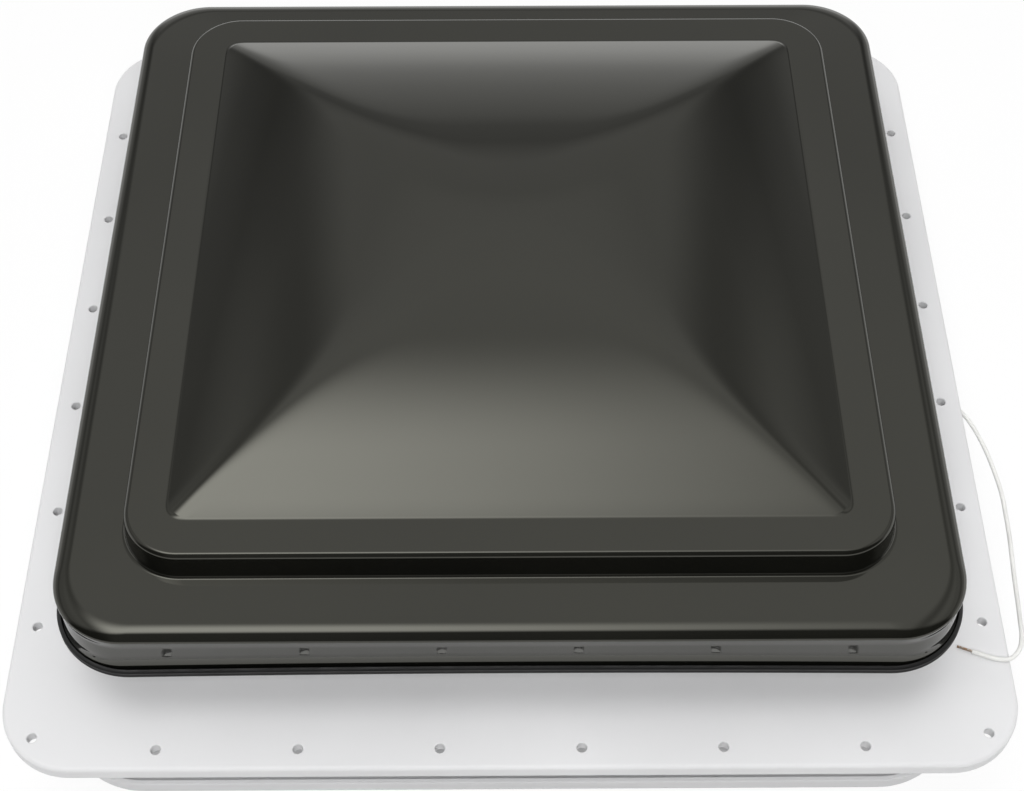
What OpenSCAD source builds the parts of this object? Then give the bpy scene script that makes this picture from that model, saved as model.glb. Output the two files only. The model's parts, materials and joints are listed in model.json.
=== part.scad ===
// Caravan roof vent: a square roof flange with a curb, a smoke-dark hinged lid,
// a worm-driven lift arm with a hand crank, a small fan and a ceiling trim ring.
// Origin at the centre of the flange's underside on the roof, +Z up, front at -Y.

/* [Roof flange] */
// Overall width of the square roof flange
flange_w = 462; // [452:1:476]
// Corner radius of the roof flange
flange_r = 34; // [28:1:42]
// Height of the flange edge above the roof
flange_h = 8; // [7:0.5:10]
// Thickness of the flange plate
flange_t = 3.5; // [2.5:0.5:5]
// Thickness of the turned-down flange rim
rim_t = 3; // [2:0.5:4]
// Chamfer along the flange's top edge
flange_chamfer = 1.5; // [0.5:0.5:2.5]

/* [Roof screw holes] */
// Spacing of the screw holes along one side
screw_pitch = 63.5; // [58:0.5:66]
// Distance of the hole rows from the flange edge
screw_inset = 10; // [8:0.5:11]
// Distance of the corner holes from both flange edges
corner_inset = 16; // [14:0.5:18]
// Diameter of a screw hole
screw_hole_d = 4.5; // [4:0.1:5.5]
// Diameter of the boss round a screw hole
boss_d = 11; // [9:0.5:12]

/* [Throat and curb] */
// Outer width of the throat that passes through the roof
throat_w = 352; // [346:1:356]
// Outer corner radius of the throat
throat_r = 20; // [14:1:28]
// Wall thickness of throat and curb
wall_t = 3; // [2.5:0.5:4]
// Depth of the throat below the roof
throat_depth = 30; // [27:1:36]
// Height of the curb above the roof
curb_h = 58; // [55:0.5:60]
// Gap between the closed lid and the gasket's bulb
seal_gap = 0.3; // [0.2:0.1:0.6]

/* [Lid] */
// Overhang of the lid's skirt outside the throat
lid_over = 22.5; // [20:0.5:25]
// Corner radius of the lid's skirt
lid_r = 32; // [28:1:36]
// Wall thickness of the lid
lid_t = 3; // [2.5:0.5:4]
// Height of the lip at the lid's corners above the roof
lid_z = 43; // [42:0.5:46]
// Height of the outer ledge above the lip
skirt_h = 30; // [28:0.5:32]
// Rise of the lip at the middle of a side
lip_bow = 2; // [0:0.5:4]
// Width of the lip outside the skirt
lip_out = 2.6; // [2:0.2:4]
// Thickness of the lip
lip_t = 2; // [1.5:0.5:4]
// Distance of the raised step's wall inside the throat's outer face
step_in = 7; // [5:0.5:10]
// Corner radius of the raised step
step_r = 26; // [20:1:32]
// Height of the raised step
step_h = 14.5; // [13:0.5:18]
// Distance of the dome's base from the raised step's wall
dome_in = 19; // [17:0.5:24]
// Height of the dome above the step
dome_h = 28; // [22:1:34]

/* [Lid edge trim] */
// Thickness of the rubber trim round the lip
trim_rubber = 1.4; // [1:0.2:2]
// Clearance between the trim and the lip
trim_clear = 0.1; // [0.05:0.05:0.2]

/* [Hinges] */
// Distance of the hinge pin behind the skirt
hinge_back = 7; // [7:0.5:9]
// Height of the hinge pin above the roof
hinge_z = 45; // [44:0.5:46]
// Distance between the two hinges
hinge_span = 240; // [180:1:250]
// Width of the rear edge without a lip
hinge_gap = 300; // [290:1:320]
// Diameter of a hinge pin
pin_d = 5; // [4:0.5:5.5]
// Width of a hinge leaf
leaf_w = 24; // [20:1:30]
// Thickness of a hinge leaf
leaf_t = 2; // [1.5:0.5:2.5]
// Thickness of a bracket ear
ear_t = 3; // [2:0.5:4]
// Running clearance round the pins and shafts
run_clear = 0.05; // [0.03:0.01:0.09]
// Diameter of a hinge rivet
rivet_d = 3; // [3:0.5:4.5]

/* [Fan strap] */
// Height of the strap's underside above the roof
strap_z = 4; // [3.5:0.5:6]
// Width of the strap
strap_w = 36; // [32:1:40]
// Thickness of the strap
strap_t = 2; // [1.5:0.5:2.5]
// Height of the strap's end tabs
tab_h = 20; // [16:1:24]

/* [Operator] */
// Sideways place of the crank's axis
op_x = -105; // [-112:1:-102]
// Module of the worm gearing
gear_module = 2; // [1.8:0.1:2]
// Number of teeth on the worm wheel
wheel_teeth = 24; // [22:1:25]
// Face width of the worm wheel
wheel_t = 8; // [6:0.5:8]
// Pitch radius of the worm
worm_pr = 7.2; // [7:0.1:7.6]
// Radial play between worm and wheel
mesh_play = 0.6; // [0.5:0.1:0.8]
// Wall thickness of the gear case
case_t = 2.5; // [2:0.5:3]
// Diameter of the crank shaft
crank_d = 8; // [7:0.5:8]
// Diameter of the lift arm's shaft
arm_shaft_d = 10; // [8:0.5:11]

/* [Lift arm and rail] */
// Width of the lift arm
arm_w = 16; // [14:1:17]
// Thickness of the lift arm
arm_t = 3; // [2.5:0.5:3.5]
// Diameter of the roller
roller_d = 8.4; // [7.6:0.2:9]
// Length of the roller
roller_len = 8; // [7:0.5:8]
// Diameter of the roller's pin
roller_pin_d = 4; // [3.5:0.5:4]
// Gap between the rail's front end and the lid's step
rail_gap = 1.2; // [0.8:0.1:1.6]
// Sheet thickness of the rail
rail_t = 1.5; // [1.2:0.1:1.6]
// Play between the roller and the rail
rail_play = 0.3; // [0.3:0.05:0.4]

/* [Crank] */
// Distance from the crank's axis to its knob
crank_len = 38; // [30:1:42]
// Thickness of the crank handle
crank_t = 5; // [4:0.5:6]
// Diameter of the knob
knob_d = 16; // [13:0.5:18]
// Length of the knob
knob_len = 13; // [11:0.5:13.5]

/* [Fan] */
// Diameter of the fan
fan_d = 150; // [130:1:152]
// Number of fan blades
fan_blades = 5; // [4:1:6]
// Pitch of the blades
blade_pitch = 26; // [20:1:28]
// Diameter of the motor
motor_d = 44; // [36:1:46]
// Height of the motor under the strap
motor_h = 22; // [18:0.5:22.5]

/* [Trim ring] */
// Width of the ceiling trim ring
ring_w = 432; // [420:1:440]
// Corner radius of the trim ring
ring_r = 42; // [34:1:48]
// Distance from the roof plane to the ceiling
ceiling = 42; // [41:0.5:46]
// Height of the trim ring under the ceiling
ring_h = 10; // [9:0.5:13]
// Wall thickness of the trim ring
ring_t = 2.5; // [2:0.5:3]
// Play between the trim ring's neck and the throat
neck_play = 0.5; // [0.4:0.1:0.8]
// Depth of the neck's top below the roof
neck_top = 10; // [9:0.5:10.5]

/* [Insect screen] */
// Depth of the screen frame's underside below the roof
screen_z = 26; // [25.5:0.5:26.5]
// Height of the screen frame
screen_t = 4; // [3:0.5:4]
// Width of the screen frame's border
screen_b = 10; // [9:0.5:14]
// Width of one wire of the mesh
wire_t = 1; // [0.8:0.1:1.4]

/* [Switch and lead] */
// Distance of the switch from the duct's wall
switch_in = 35; // [31:1:43]
// Length of the switch body
switch_l = 19; // [17:0.5:21]
// Width of the switch body
switch_w = 13; // [11:0.5:14]
// Diameter of the white supply lead
lead_d = 2.2; // [1.8:0.1:2.6]
// Length of the lead's stripped tip
tip_len = 7; // [5:0.5:9]

/* [Hidden] */
$fn = 48;
eps = 0.01;
fit = 0.02;

// Colours of the materials
white_plastic = [0.88, 0.88, 0.86];
smoke_plastic = [0.10, 0.10, 0.09];
black_rubber = [0.06, 0.06, 0.06];
zinc_steel = [0.72, 0.73, 0.74];
grey_plastic = [0.45, 0.46, 0.47];
bronze = [0.70, 0.55, 0.30];

// Sizes and heights of the lid
lid_half = throat_w / 2 + lid_over;
step_half = throat_w / 2 - step_in;
dome_half = step_half - dome_in;
ledge_z = lid_z + skirt_h;
step_z = ledge_z + step_h;
ledge_under = ledge_z - lid_t;
step_under = step_z - lid_t;
lip_half = lid_half + lip_out;
dome_r = 0.06 * dome_half;

// Hinge axis
hinge_y = lid_half + hinge_back;
leaf_y = lid_half + 1;
barrel_r = hinge_y - leaf_y - leaf_t / 2;
ear_r = pin_d / 2 + 3.2;
bracket_w = leaf_w + 1 + 2 * ear_t;
foot_t = 2.5;
bracket_screw_x = 8;
bracket_screw_y = 6;
bracket_screw_d = 3.2;
bracket_boss_d = 9;
foot_y = hinge_y - 24;

// Duct and neck
duct_half = throat_w / 2 - wall_t;
neck_half = duct_half - neck_play;
neck_in = neck_half - ring_t;
neck_r = throat_r - wall_t - neck_play;
ledge_t = 2;
ledge_w = 7;
ring_bottom = ceiling + ring_h;
neck_screw_z = -(neck_top + 5.5);
neck_screw_x = 110;

// Gearing: the wheel's axis is the lift arm's pivot
wheel_pr = gear_module * wheel_teeth / 2;
tooth_a = 0.8 * gear_module;
wheel_or = wheel_pr + tooth_a;
worm_pitch = PI * gear_module;
worm_len = 5 * worm_pitch;
strap_top = strap_z + strap_t;
tab_screw_y = 10;
tab_screw_drop = 8;
tab_screw_d = 3.4;
neck_screw_d = 3.4;
pivot_y = worm_pr + wheel_pr + mesh_play;
pivot_z = strap_top + case_t + 1.5 + wheel_or;
case_half = max(wheel_t / 2 + 3.5, worm_pr + tooth_a + 1) + case_t;
case_r = wheel_or + 1.5 + case_t;
case_front = -(worm_pr + tooth_a + 1.5 + case_t);
case_top = pivot_z + case_r;
case_x0 = op_x - case_half;
case_x1 = op_x + case_half;
case_foot_t = 3;
case_foot_w = 22;
case_ear = 11;
case_screw_x = case_half + 6;
cover_screw_d = 2.5;
cover_head_d = 4.6;
cover_boss_r = 3;
lug = wheel_or + cover_boss_r + 0.8;
lug_y = lug * cos(65);
lug_z = lug * sin(65);

// Lift arm: hinge, pivot and roller make an isosceles triangle
arm_len = norm([hinge_y - pivot_y, hinge_z - pivot_z]);
hinge_drop = atan2(hinge_z - pivot_z, hinge_y - pivot_y);
track_h = roller_d / 2 + rail_play;
rail_h = track_h + rail_t;
rail_foot = 12;
foot_mid = (dome_half + step_half - 1 - lid_t) / 2;
rail_reach = foot_mid + rail_foot / 2;
rail_slope = atan((step_under - rail_gap - rail_h - hinge_z) / (hinge_y + rail_reach));
rail_angle = hinge_drop + rail_slope;
rail_run = 2 * arm_len * cos(rail_angle);
tip_y = hinge_y - rail_run * cos(rail_slope);
tip_z = hinge_z + rail_run * sin(rail_slope);
arm_lean = atan2(tip_z - pivot_z, pivot_y - tip_y);
arm_x0 = case_x1 + 1;
arm_x1 = arm_x0 + arm_t;
roller_x0 = arm_x1 + 1.5;
roller_x1 = roller_x0 + roller_len;
rail_x0 = arm_x1 + 1;
rail_web = roller_x1 + 1;
boss_h = 6;
rail_boss_d = 8;
boss_x = rail_web + 7;
seam_half = (foot_mid + rail_boss_d / 2 + step_half - 1 - lid_t) / 2;
// Seam between the lid's riser and its skirt, half way across the ledge
ledge_seam = (step_half + lid_half) / 2;
// Flat top of the lip that the rubber edging grips
lip_flat = 0.8;
step_flow = step_r - step_half;

// Crank below the screen
handle_top = -(screen_z + 5.5);
handle_bottom = handle_top - crank_t;
handle_w = 11;
handle_hub = 17;
knob_pin_d = 5;

// Motor and fan
motor_boss_d = 12;
motor_screw_y = 12;
hub_bottom = strap_top + 4;
hub_h = 16;
hub_d = 30;
blade_w = 40;
blade_t = 2;
fan_shaft_d = 3.2;

// Mesh of the insect screen
mesh_gaps = 17;
mesh_t = 1;
screen_half = neck_in - 0.5;
mesh_half = neck_in - 0.3 * (throat_r - wall_t - neck_play - ring_t) - 1;
mesh_step = (2 * mesh_half - wire_t) / mesh_gaps;
mesh_z = -screen_z + screen_t;

// Switch and lead
switch_x = duct_half - switch_in;
switch_top = mesh_z + 20;
grommet_d = 7;
grommet_rim = 11;
grommet_y = -14;
grommet_z = -3;
lead_x = throat_w / 2 + 2;
lead_shift = flange_w / 2 - 231;
lead_lift = flange_h - 8 + lead_d / 2 - 1.1;
lead_route = [
    [lead_x, grommet_y, grommet_z], [lead_x + 12, grommet_y, grommet_z],
    [204 + lead_shift, -14.5, -4.2], [217 + lead_shift, -16.5, -6.2], [228 + lead_shift, -20, -7.8],
    [236 + lead_shift, -27, -8.8], [241 + lead_shift, -37, -9.3], [244.5 + lead_shift, -49, -9.6],
    [247 + lead_shift, -62, -10], [248.5 + lead_shift, -76, -10], [248.3 + lead_shift, -90, -9.6],
    [247.5 + lead_shift, -104, -8.6], [246 + lead_shift, -118, -7], [244.4 + lead_shift, -131, -4.6],
    [243 + lead_shift, -143, -2], [241.3 + lead_shift, -154, 1.2 + lead_lift],
    [239.6 + lead_shift, -164, 4.4 + lead_lift], [236.3 + lead_shift, -172.8, 7.5 + lead_lift],
    [231 + lead_shift, -178.5, 9.2 + lead_lift], [225.5 + lead_shift, -179, 9.2 + lead_lift],
    [219.5 + lead_shift, -177.2, 9.2 + lead_lift], [213.5 + lead_shift, -174.8, 9.2 + lead_lift]];
switch_side = switch_x + switch_w / 2;
inner_run = duct_half - 2 - switch_side;
inner_route = [for (p = [[0, 0, 0], [0.15, 0, 0], [0.34, 2, 0], [0.53, 6, 0], [0.72, 8, -1],
        [0.87, 9, -2], [1, 9, -2]])
    [switch_side + (1 - p[0]) * inner_run, grommet_y + p[1], grommet_z + p[2]]];
motor_wire_z = strap_z - lead_d / 2 - 0.1;
motor_side = switch_x - switch_w / 2;
motor_tab = motor_d / 2 + 6;
motor_run = motor_side - 20 - motor_tab - 6;
motor_route = concat(
    [[motor_side, 4, grommet_z - 3], [motor_side - 4, 4, grommet_z - 3],
        [motor_side - 9, 4, grommet_z - 1.5], [motor_side - 14, 4, motor_wire_z - 2]],
    [for (k = [0 : 6]) [motor_side - 20 - motor_run * k / 6, 4, motor_wire_z]],
    [[motor_tab, 4, motor_wire_z]]);
clip_xs = [52, 92];

// Square with rounded corners
module rounded_square(w, r) {
    square([w - 2 * r, w], center = true);
    square([w, w - 2 * r], center = true);
    for (sx = [-1, 1], sy = [-1, 1])
        translate([sx * (w / 2 - r), sy * (w / 2 - r)])
            circle(r);
}

// Block with rounded upright edges
module slab(w, r, z0, z1) {
    translate([0, 0, z0])
        linear_extrude(z1 - z0)
            rounded_square(w, r);
}

// Sweeps a profile round a rounded square; the profile's x starts at the corner's centre
module rounded_frame(w, r) {
    c = w / 2 - r;
    for (a = [0 : 90 : 270])
        rotate(a) {
            translate([c, c, 0])
                rotate_extrude(angle = 90)
                    children();
            translate([c, c, 0])
                rotate([90, 0, 0])
                    linear_extrude(2 * c)
                        children();
        }
}

// Extrudes a profile drawn in Y and Z along X
module along_x(x0, x1) {
    translate([x0, 0, 0])
        rotate([90, 0, 90])
            linear_extrude(x1 - x0)
                children();
}

// Round bar along X at a given Y and Z
module bar_x(x0, x1, y, z, d) {
    translate([x0, y, z])
        rotate([0, 90, 0])
            cylinder(d = d, h = x1 - x0);
}

// Screw with a round head, its head's underside at the origin and its shank down
module screw(d, len, head_d, head_h) {
    translate([0, 0, -len])
        cylinder(d = d, h = len + eps);
    difference() {
        cylinder(d = head_d, h = head_h);
        translate([-head_d / 2, -0.4, head_h - 0.8])
            cube([head_d, 0.8, 1]);
    }
}

// Places of the roof screw holes
module at_roof_screws() {
    row = flange_w / 2 - screw_inset;
    corner = flange_w / 2 - corner_inset;
    for (a = [0 : 90 : 270])
        rotate(a) {
            for (k = [-2.5 : 1 : 2.5])
                translate([k * screw_pitch, row, 0])
                    children();
            translate([corner, corner, 0])
                children();
        }
}

// Places of the trim ring's screws, turned so that +Z points into the duct
module at_trim_screws() {
    for (a = [0 : 90 : 270], s = [-1, 1])
        rotate(a)
            translate([neck_in, s * neck_screw_x, neck_screw_z])
                rotate([0, -90, 0])
                    children();
}

// Places of the strap's end screws, turned so that +Z points into the duct
module at_strap_screws() {
    for (a = [0, 180], s = [-1, 1])
        rotate(a)
            translate([duct_half - 0.2 - strap_t, s * tab_screw_y, strap_top + tab_h - tab_screw_drop])
                rotate([0, -90, 0])
                    children();
}

// Places of the hinge brackets' screws
module at_bracket_screws() {
    for (sx = [-1, 1], s = [-1, 1])
        translate([sx * hinge_span / 2 + s * bracket_screw_x, foot_y + bracket_screw_y, flange_h + foot_t])
            children();
}

// Points of a rounded square ring, 14 to each quarter
function ring_xy(w, r) = let (c = w - r)
    [for (q = [0 : 3], k = [0 : 13])
        let (
            p = c * [q == 0 || q == 3 ? 1 : -1, q < 2 ? 1 : -1],
            a = 90 * q + 15 * min(k, 6),
            s = 2 * c * max(0, k - 6) / 8)
        p + r * [cos(a), sin(a)] - s * [cos(90 * q), sin(90 * q)]];

// Rise of the lip between the corners
function bow_at(p, w, r) = let (t = min(1, min(abs(p.x), abs(p.y)) / (w - r))) lip_bow * (1 - t * t);

// One ring of the lid: half width, corner radius, height, share of the bow
function lid_ring(w, r, z, b) = [for (p = ring_xy(w, r)) [p.x, p.y, z + b * bow_at(p, w, r)]];

// Height of the dome above the step at a point
function dome_rise(p) = let (
        u = abs(p.x) / dome_half,
        v = abs(p.y) / dome_half,
        s = pow(pow(u, 8) + pow(v, 8), 1 / 8),
        k = 2.2 + 38 * pow(min(1, s), 3),
        m = pow(pow(u, k) + pow(v, k), 1 / k))
    dome_h * max(0, 1 - m * m);

// One ring of the dome at a share of its base
function dome_ring(m, dz) = let (w = m * dome_half, r = w * (0.06 + 0.5 * (1 - m)))
    [for (p = ring_xy(w, r)) [p.x, p.y, step_z + dz + dome_rise(p)]];

// Faces between stacked rings of n points, closed with a fan at each end
function ring_faces(rings, n) = concat(
    [for (i = [0 : n - 1]) [rings * n, (i + 1) % n, i]],
    [for (j = [0 : rings - 2], i = [0 : n - 1])
        [j * n + i, (j + 1) * n + (i + 1) % n, (j + 1) * n + i]],
    [for (j = [0 : rings - 2], i = [0 : n - 1])
        [j * n + i, j * n + (i + 1) % n, (j + 1) * n + (i + 1) % n]],
    [for (i = [0 : n - 1]) [rings * n + 1, (rings - 1) * n + i, (rings - 1) * n + (i + 1) % n]]);

// Faces between m rings of n points, the last joined to the first
function loop_faces(m, n) = concat(
    [for (j = [0 : m - 1], i = [0 : n - 1])
        [j * n + i, ((j + 1) % m) * n + (i + 1) % n, ((j + 1) % m) * n + i]],
    [for (j = [0 : m - 1], i = [0 : n - 1])
        [j * n + i, j * n + (i + 1) % n, ((j + 1) % m) * n + (i + 1) % n]]);

// Smooth curve through route points, with a few steps to each stretch
function spline(pts, steps) = let (
        n = len(pts),
        q = concat([2 * pts[0] - pts[1]], pts, [2 * pts[n - 1] - pts[n - 2]]))
    concat([for (i = [1 : n - 1], s = [0 : steps - 1])
        let (t = s / steps, a = q[i - 1], b = q[i], c = q[i + 1], d = q[i + 2])
        0.5 * (2 * b + (c - a) * t + (2 * a - 5 * b + 4 * c - d) * t * t
            + (3 * b - a - 3 * c + d) * t * t * t)], [pts[n - 1]]);

// Direction of a curve at one of its points
function heading(c, i) = let (
        n = len(c),
        v = i == 0 ? c[1] - c[0] : i == n - 1 ? c[n - 1] - c[n - 2] : c[i + 1] - c[i - 1])
    v / norm(v);

// Round tube along a route, closed with flat ends
module tube(pts, d, steps) {
    sides = 8;
    c = spline(pts, steps);
    n = len(c);
    p = [for (i = [0 : n - 1])
        let (
            t = i == 0 ? (pts[1] - pts[0]) / norm(pts[1] - pts[0])
                : i == n - 1 ? (pts[len(pts) - 1] - pts[len(pts) - 2])
                    / norm(pts[len(pts) - 1] - pts[len(pts) - 2]) : heading(c, i),
            g = cross([0, 0, 1], t),
            u = g / norm(g),
            v = cross(t, u))
        for (k = [0 : sides - 1])
            c[i] + d / 2 * (cos(360 * (k + 0.5) / sides) * u + sin(360 * (k + 0.5) / sides) * v)];
    f = concat(
        [[for (k = [0 : sides - 1]) k]],
        [for (i = [0 : n - 2], k = [0 : sides - 1])
            [i * sides + k, (i + 1) * sides + k, (i + 1) * sides + (k + 1) % sides]],
        [for (i = [0 : n - 2], k = [0 : sides - 1])
            [i * sides + k, (i + 1) * sides + (k + 1) % sides, i * sides + (k + 1) % sides]],
        [[for (k = [sides - 1 : -1 : 0]) (n - 1) * sides + k]]);
    polyhedron(p, f, convexity = 10);
}

// Base: roof flange with curb and throat
module roof_flange() {
    color(white_plastic)
    difference() {
        union() {
            difference() {
                slab(flange_w, flange_r, 0, flange_h);
                slab(flange_w - 2 * rim_t, flange_r - rim_t, -1, flange_h - flange_t);
                rounded_frame(flange_w, flange_r)
                    polygon([[flange_r - flange_chamfer, flange_h + eps],
                        [flange_r + eps, flange_h - flange_chamfer],
                        [flange_r + 1, flange_h - flange_chamfer],
                        [flange_r + 1, flange_h + 1],
                        [flange_r - flange_chamfer, flange_h + 1]]);
            }
            at_roof_screws()
                cylinder(d = boss_d, h = flange_h - flange_t + 1);
            at_bracket_screws()
                translate([0, 0, -flange_h - foot_t])
                    cylinder(d = bracket_boss_d, h = flange_h - flange_t + 1);
            slab(throat_w, throat_r, -throat_depth, curb_h);
        }
        slab(throat_w - 2 * wall_t, throat_r - wall_t, -throat_depth - 1, curb_h + 1);
        at_roof_screws()
            translate([0, 0, -1])
                cylinder(d = screw_hole_d, h = flange_h + 2);
        at_bracket_screws()
            translate([0, 0, -flange_h - foot_t - 1])
                cylinder(d = bracket_screw_d + 2 * fit, h = flange_h + 2);
        at_trim_screws()
            translate([0, 0, -ring_t - neck_play - wall_t - 1])
                cylinder(d = neck_screw_d + 2 * fit, h = wall_t + 2);
        at_strap_screws()
            translate([0, 0, -strap_t - 0.2 - wall_t - 1])
                cylinder(d = tab_screw_d + 2 * fit, h = wall_t + 2);
        bar_x(duct_half - 1, throat_w / 2 + 1, grommet_y, grommet_z, grommet_d + 2 * fit);
    }
}

// Bulb gasket pushed on the curb's edge
module curb_gasket() {
    bulb_r = (ledge_under - seal_gap - curb_h - 1) / 2;
    mid = throat_r - wall_t / 2;
    color(black_rubber)
    rounded_frame(throat_w, throat_r)
        difference() {
            union() {
                translate([throat_r - wall_t - 1.6, curb_h - 7])
                    square([wall_t + 3.2, 9]);
                translate([mid, curb_h + 1 + bulb_r])
                    circle(bulb_r);
            }
            translate([throat_r - wall_t - 0.1, curb_h - 8])
                square([wall_t + 0.2, 8]);
            translate([mid, curb_h + 1.4 + bulb_r])
                circle(bulb_r - 1.6);
        }
}

// Bracket of one hinge on the flange
module hinge_bracket(sx) {
    x = sx * hinge_span / 2;
    color(zinc_steel)
    difference() {
        union() {
            translate([x - bracket_w / 2, foot_y, flange_h])
                cube([bracket_w, hinge_y + ear_r - foot_y, foot_t]);
            for (s = [-1, 1])
                along_x(x + s * (bracket_w - ear_t) / 2 - ear_t / 2,
                        x + s * (bracket_w - ear_t) / 2 + ear_t / 2) {
                    translate([hinge_y, hinge_z])
                        circle(ear_r);
                    translate([hinge_y - ear_r, flange_h])
                        square([2 * ear_r, hinge_z - flange_h]);
                }
        }
        bar_x(x - bracket_w / 2 - 1, x + bracket_w / 2 + 1, hinge_y, hinge_z, pin_d + 2 * fit);
        at_bracket_screws()
            translate([0, 0, -foot_t - 1])
                cylinder(d = bracket_screw_d + 0.4, h = foot_t + 2);
    }
}

module hinge_bracket_left() {
    hinge_bracket(-1);
}

module hinge_bracket_right() {
    hinge_bracket(1);
}

// Pin of one hinge with a head at its outer end
module hinge_pin(sx) {
    x = sx * hinge_span / 2;
    color(zinc_steel) {
        bar_x(x - bracket_w / 2 - 1, x + bracket_w / 2 + 1, hinge_y, hinge_z, pin_d);
        bar_x(x + sx * (bracket_w / 2 + 0.85) - 0.75, x + sx * (bracket_w / 2 + 0.85) + 0.75,
            hinge_y, hinge_z, pin_d + 3);
    }
}

module hinge_pin_left() {
    hinge_pin(-1);
}

module hinge_pin_right() {
    hinge_pin(1);
}

module bracket_screws() {
    color(zinc_steel)
    at_bracket_screws()
        screw(bracket_screw_d, foot_t + flange_h - 1, 2 * bracket_screw_d, 2.2);
}

// Steel strap across the duct that carries fan and operator
module fan_strap() {
    half = duct_half - 0.2;
    color(zinc_steel)
    difference() {
        union() {
            translate([-half, -strap_w / 2, strap_z])
                cube([2 * half, strap_w, strap_t]);
            for (s = [-1, 1])
                translate([s * (half - strap_t / 2) - strap_t / 2, -strap_w / 2, strap_z])
                    cube([strap_t, strap_w, strap_t + tab_h]);
        }
        at_strap_screws()
            translate([0, 0, -strap_t - 1])
                cylinder(d = tab_screw_d + 0.4, h = strap_t + 2);
        translate([op_x, 0, strap_z - 1])
            cylinder(d = crank_d + 2, h = strap_t + 2);
        for (s = [-1, 1])
            translate([op_x + s * case_screw_x, 0, strap_z - 1])
                cylinder(d = 3.4 + 2 * fit, h = strap_t + 2);
        translate([0, 0, strap_z - 1])
            cylinder(d = motor_boss_d + 0.4, h = strap_t + 2);
        for (s = [-1, 1])
            translate([0, s * motor_screw_y, strap_z - 1])
                cylinder(d = 3.4, h = strap_t + 2);
    }
}

module strap_screws() {
    color(zinc_steel)
    at_strap_screws()
        screw(tab_screw_d, strap_t + 0.2 + wall_t + 1, tab_screw_d + 3.2, 2.3);
}

// Motor can under the strap with its front boss
module motor_can() {
    color(zinc_steel)
    difference() {
        union() {
            translate([0, 0, strap_z - motor_h + 5])
                cylinder(d = motor_d, h = motor_h - 5);
            translate([0, 0, strap_z - 1])
                cylinder(d = motor_boss_d, h = strap_t + 2);
            translate([motor_d / 2 - 2, 0, strap_z - 5])
                cube([8, 9, 5]);
        }
        translate([0, 0, strap_z - motor_h + 12])
            cylinder(d = fan_shaft_d + 2 * run_clear, h = motor_h);
        for (s = [-1, 1])
            translate([0, s * motor_screw_y, strap_z - 5])
                cylinder(d = 3 + 2 * fit, h = 6);
    }
}

module motor_end_cap() {
    color(grey_plastic) {
        translate([0, 0, strap_z - motor_h + 2])
            cylinder(d = motor_d - 1, h = 3);
        translate([0, 0, strap_z - motor_h])
            cylinder(d = 15, h = 2 + eps);
    }
}

module motor_screws() {
    color(zinc_steel)
    for (s = [-1, 1])
        translate([0, s * motor_screw_y, strap_top])
            screw(3, strap_t + 4, 5.5, 2);
}

// Outline of the gear case
module case_outline(grow) {
    translate([pivot_y, pivot_z])
        circle(case_r + grow);
    translate([case_front - grow, strap_top - grow])
        square([pivot_y - case_front + grow, case_top - strap_top + 2 * grow]);
    translate([pivot_y, strap_top - grow])
        square([lug_y + cover_boss_r + 0.5 + grow, case_r / 2]);
}

// Places of the cover's screws on the case's left edge, with +Z pointing left
module at_cover_screws() {
    inset = cover_boss_r + 0.5;
    low = strap_top + case_foot_t + cover_head_d / 2 + 0.6;
    for (p = [[case_front + inset, low], [case_front + inset, case_top - inset],
            [pivot_y + lug_y, pivot_z - lug_z]])
        translate([case_x0 + case_t, p.x, p.y])
            rotate([0, -90, 0])
                children();
}

// Gear case on the strap, open on its left side
module gear_case() {
    color(grey_plastic)
    difference() {
        union() {
            difference() {
                union() {
                    along_x(case_x0 + case_t, case_x1)
                        case_outline(0);
                    translate([case_x0 - case_ear, -case_foot_w / 2, strap_top])
                        cube([2 * (case_half + case_ear), case_foot_w, case_foot_t]);
                }
                along_x(case_x0 - 1, case_x1 - case_t)
                    case_outline(-case_t);
            }
            at_cover_screws()
                translate([0, 0, case_t - 2 * case_half])
                    cylinder(r = cover_boss_r, h = 2 * case_half - case_t);
        }
        translate([case_x0 - case_ear - 1, case_front - 1, strap_top + case_foot_t + eps])
            cube([case_ear + 1 + case_t, 4 * case_r, 4 * case_r]);
        translate([op_x, 0, strap_top - 1])
            cylinder(d = crank_d + 2 * run_clear, h = case_top);
        bar_x(op_x, case_x1 + 1, pivot_y, pivot_z, arm_shaft_d + 2 * run_clear);
        for (s = [-1, 1])
            translate([op_x + s * case_screw_x, 0, strap_top - 1])
                cylinder(d = 3.8, h = case_foot_t + 2);
        at_cover_screws()
            translate([0, 0, -6])
                cylinder(d = cover_screw_d + 2 * fit, h = 7);
    }
}

module case_cover() {
    color(grey_plastic)
    difference() {
        along_x(case_x0, case_x0 + case_t - 0.05)
            difference() {
                case_outline(0);
                translate([-case_foot_w / 2 - 0.1, strap_top - 1])
                    square([case_foot_w + 0.2, case_foot_t + 1.1]);
            }
        bar_x(case_x0 - 1, case_x0 + case_t + 1, pivot_y, pivot_z,
            arm_shaft_d - 3 + 2 * run_clear);
        at_cover_screws()
            translate([0, 0, -1])
                cylinder(d = cover_screw_d + 0.4, h = case_t + 2);
    }
}

module case_screws() {
    color(zinc_steel)
    for (s = [-1, 1])
        translate([op_x + s * case_screw_x, 0, strap_top + case_foot_t])
            screw(3.4, case_foot_t + strap_t + 1, 6.4, 2.2);
}

module cover_screws() {
    color(zinc_steel)
    at_cover_screws()
        translate([0, 0, case_t])
            screw(cover_screw_d, case_t + 5, cover_head_d, 1.8);
}

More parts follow.
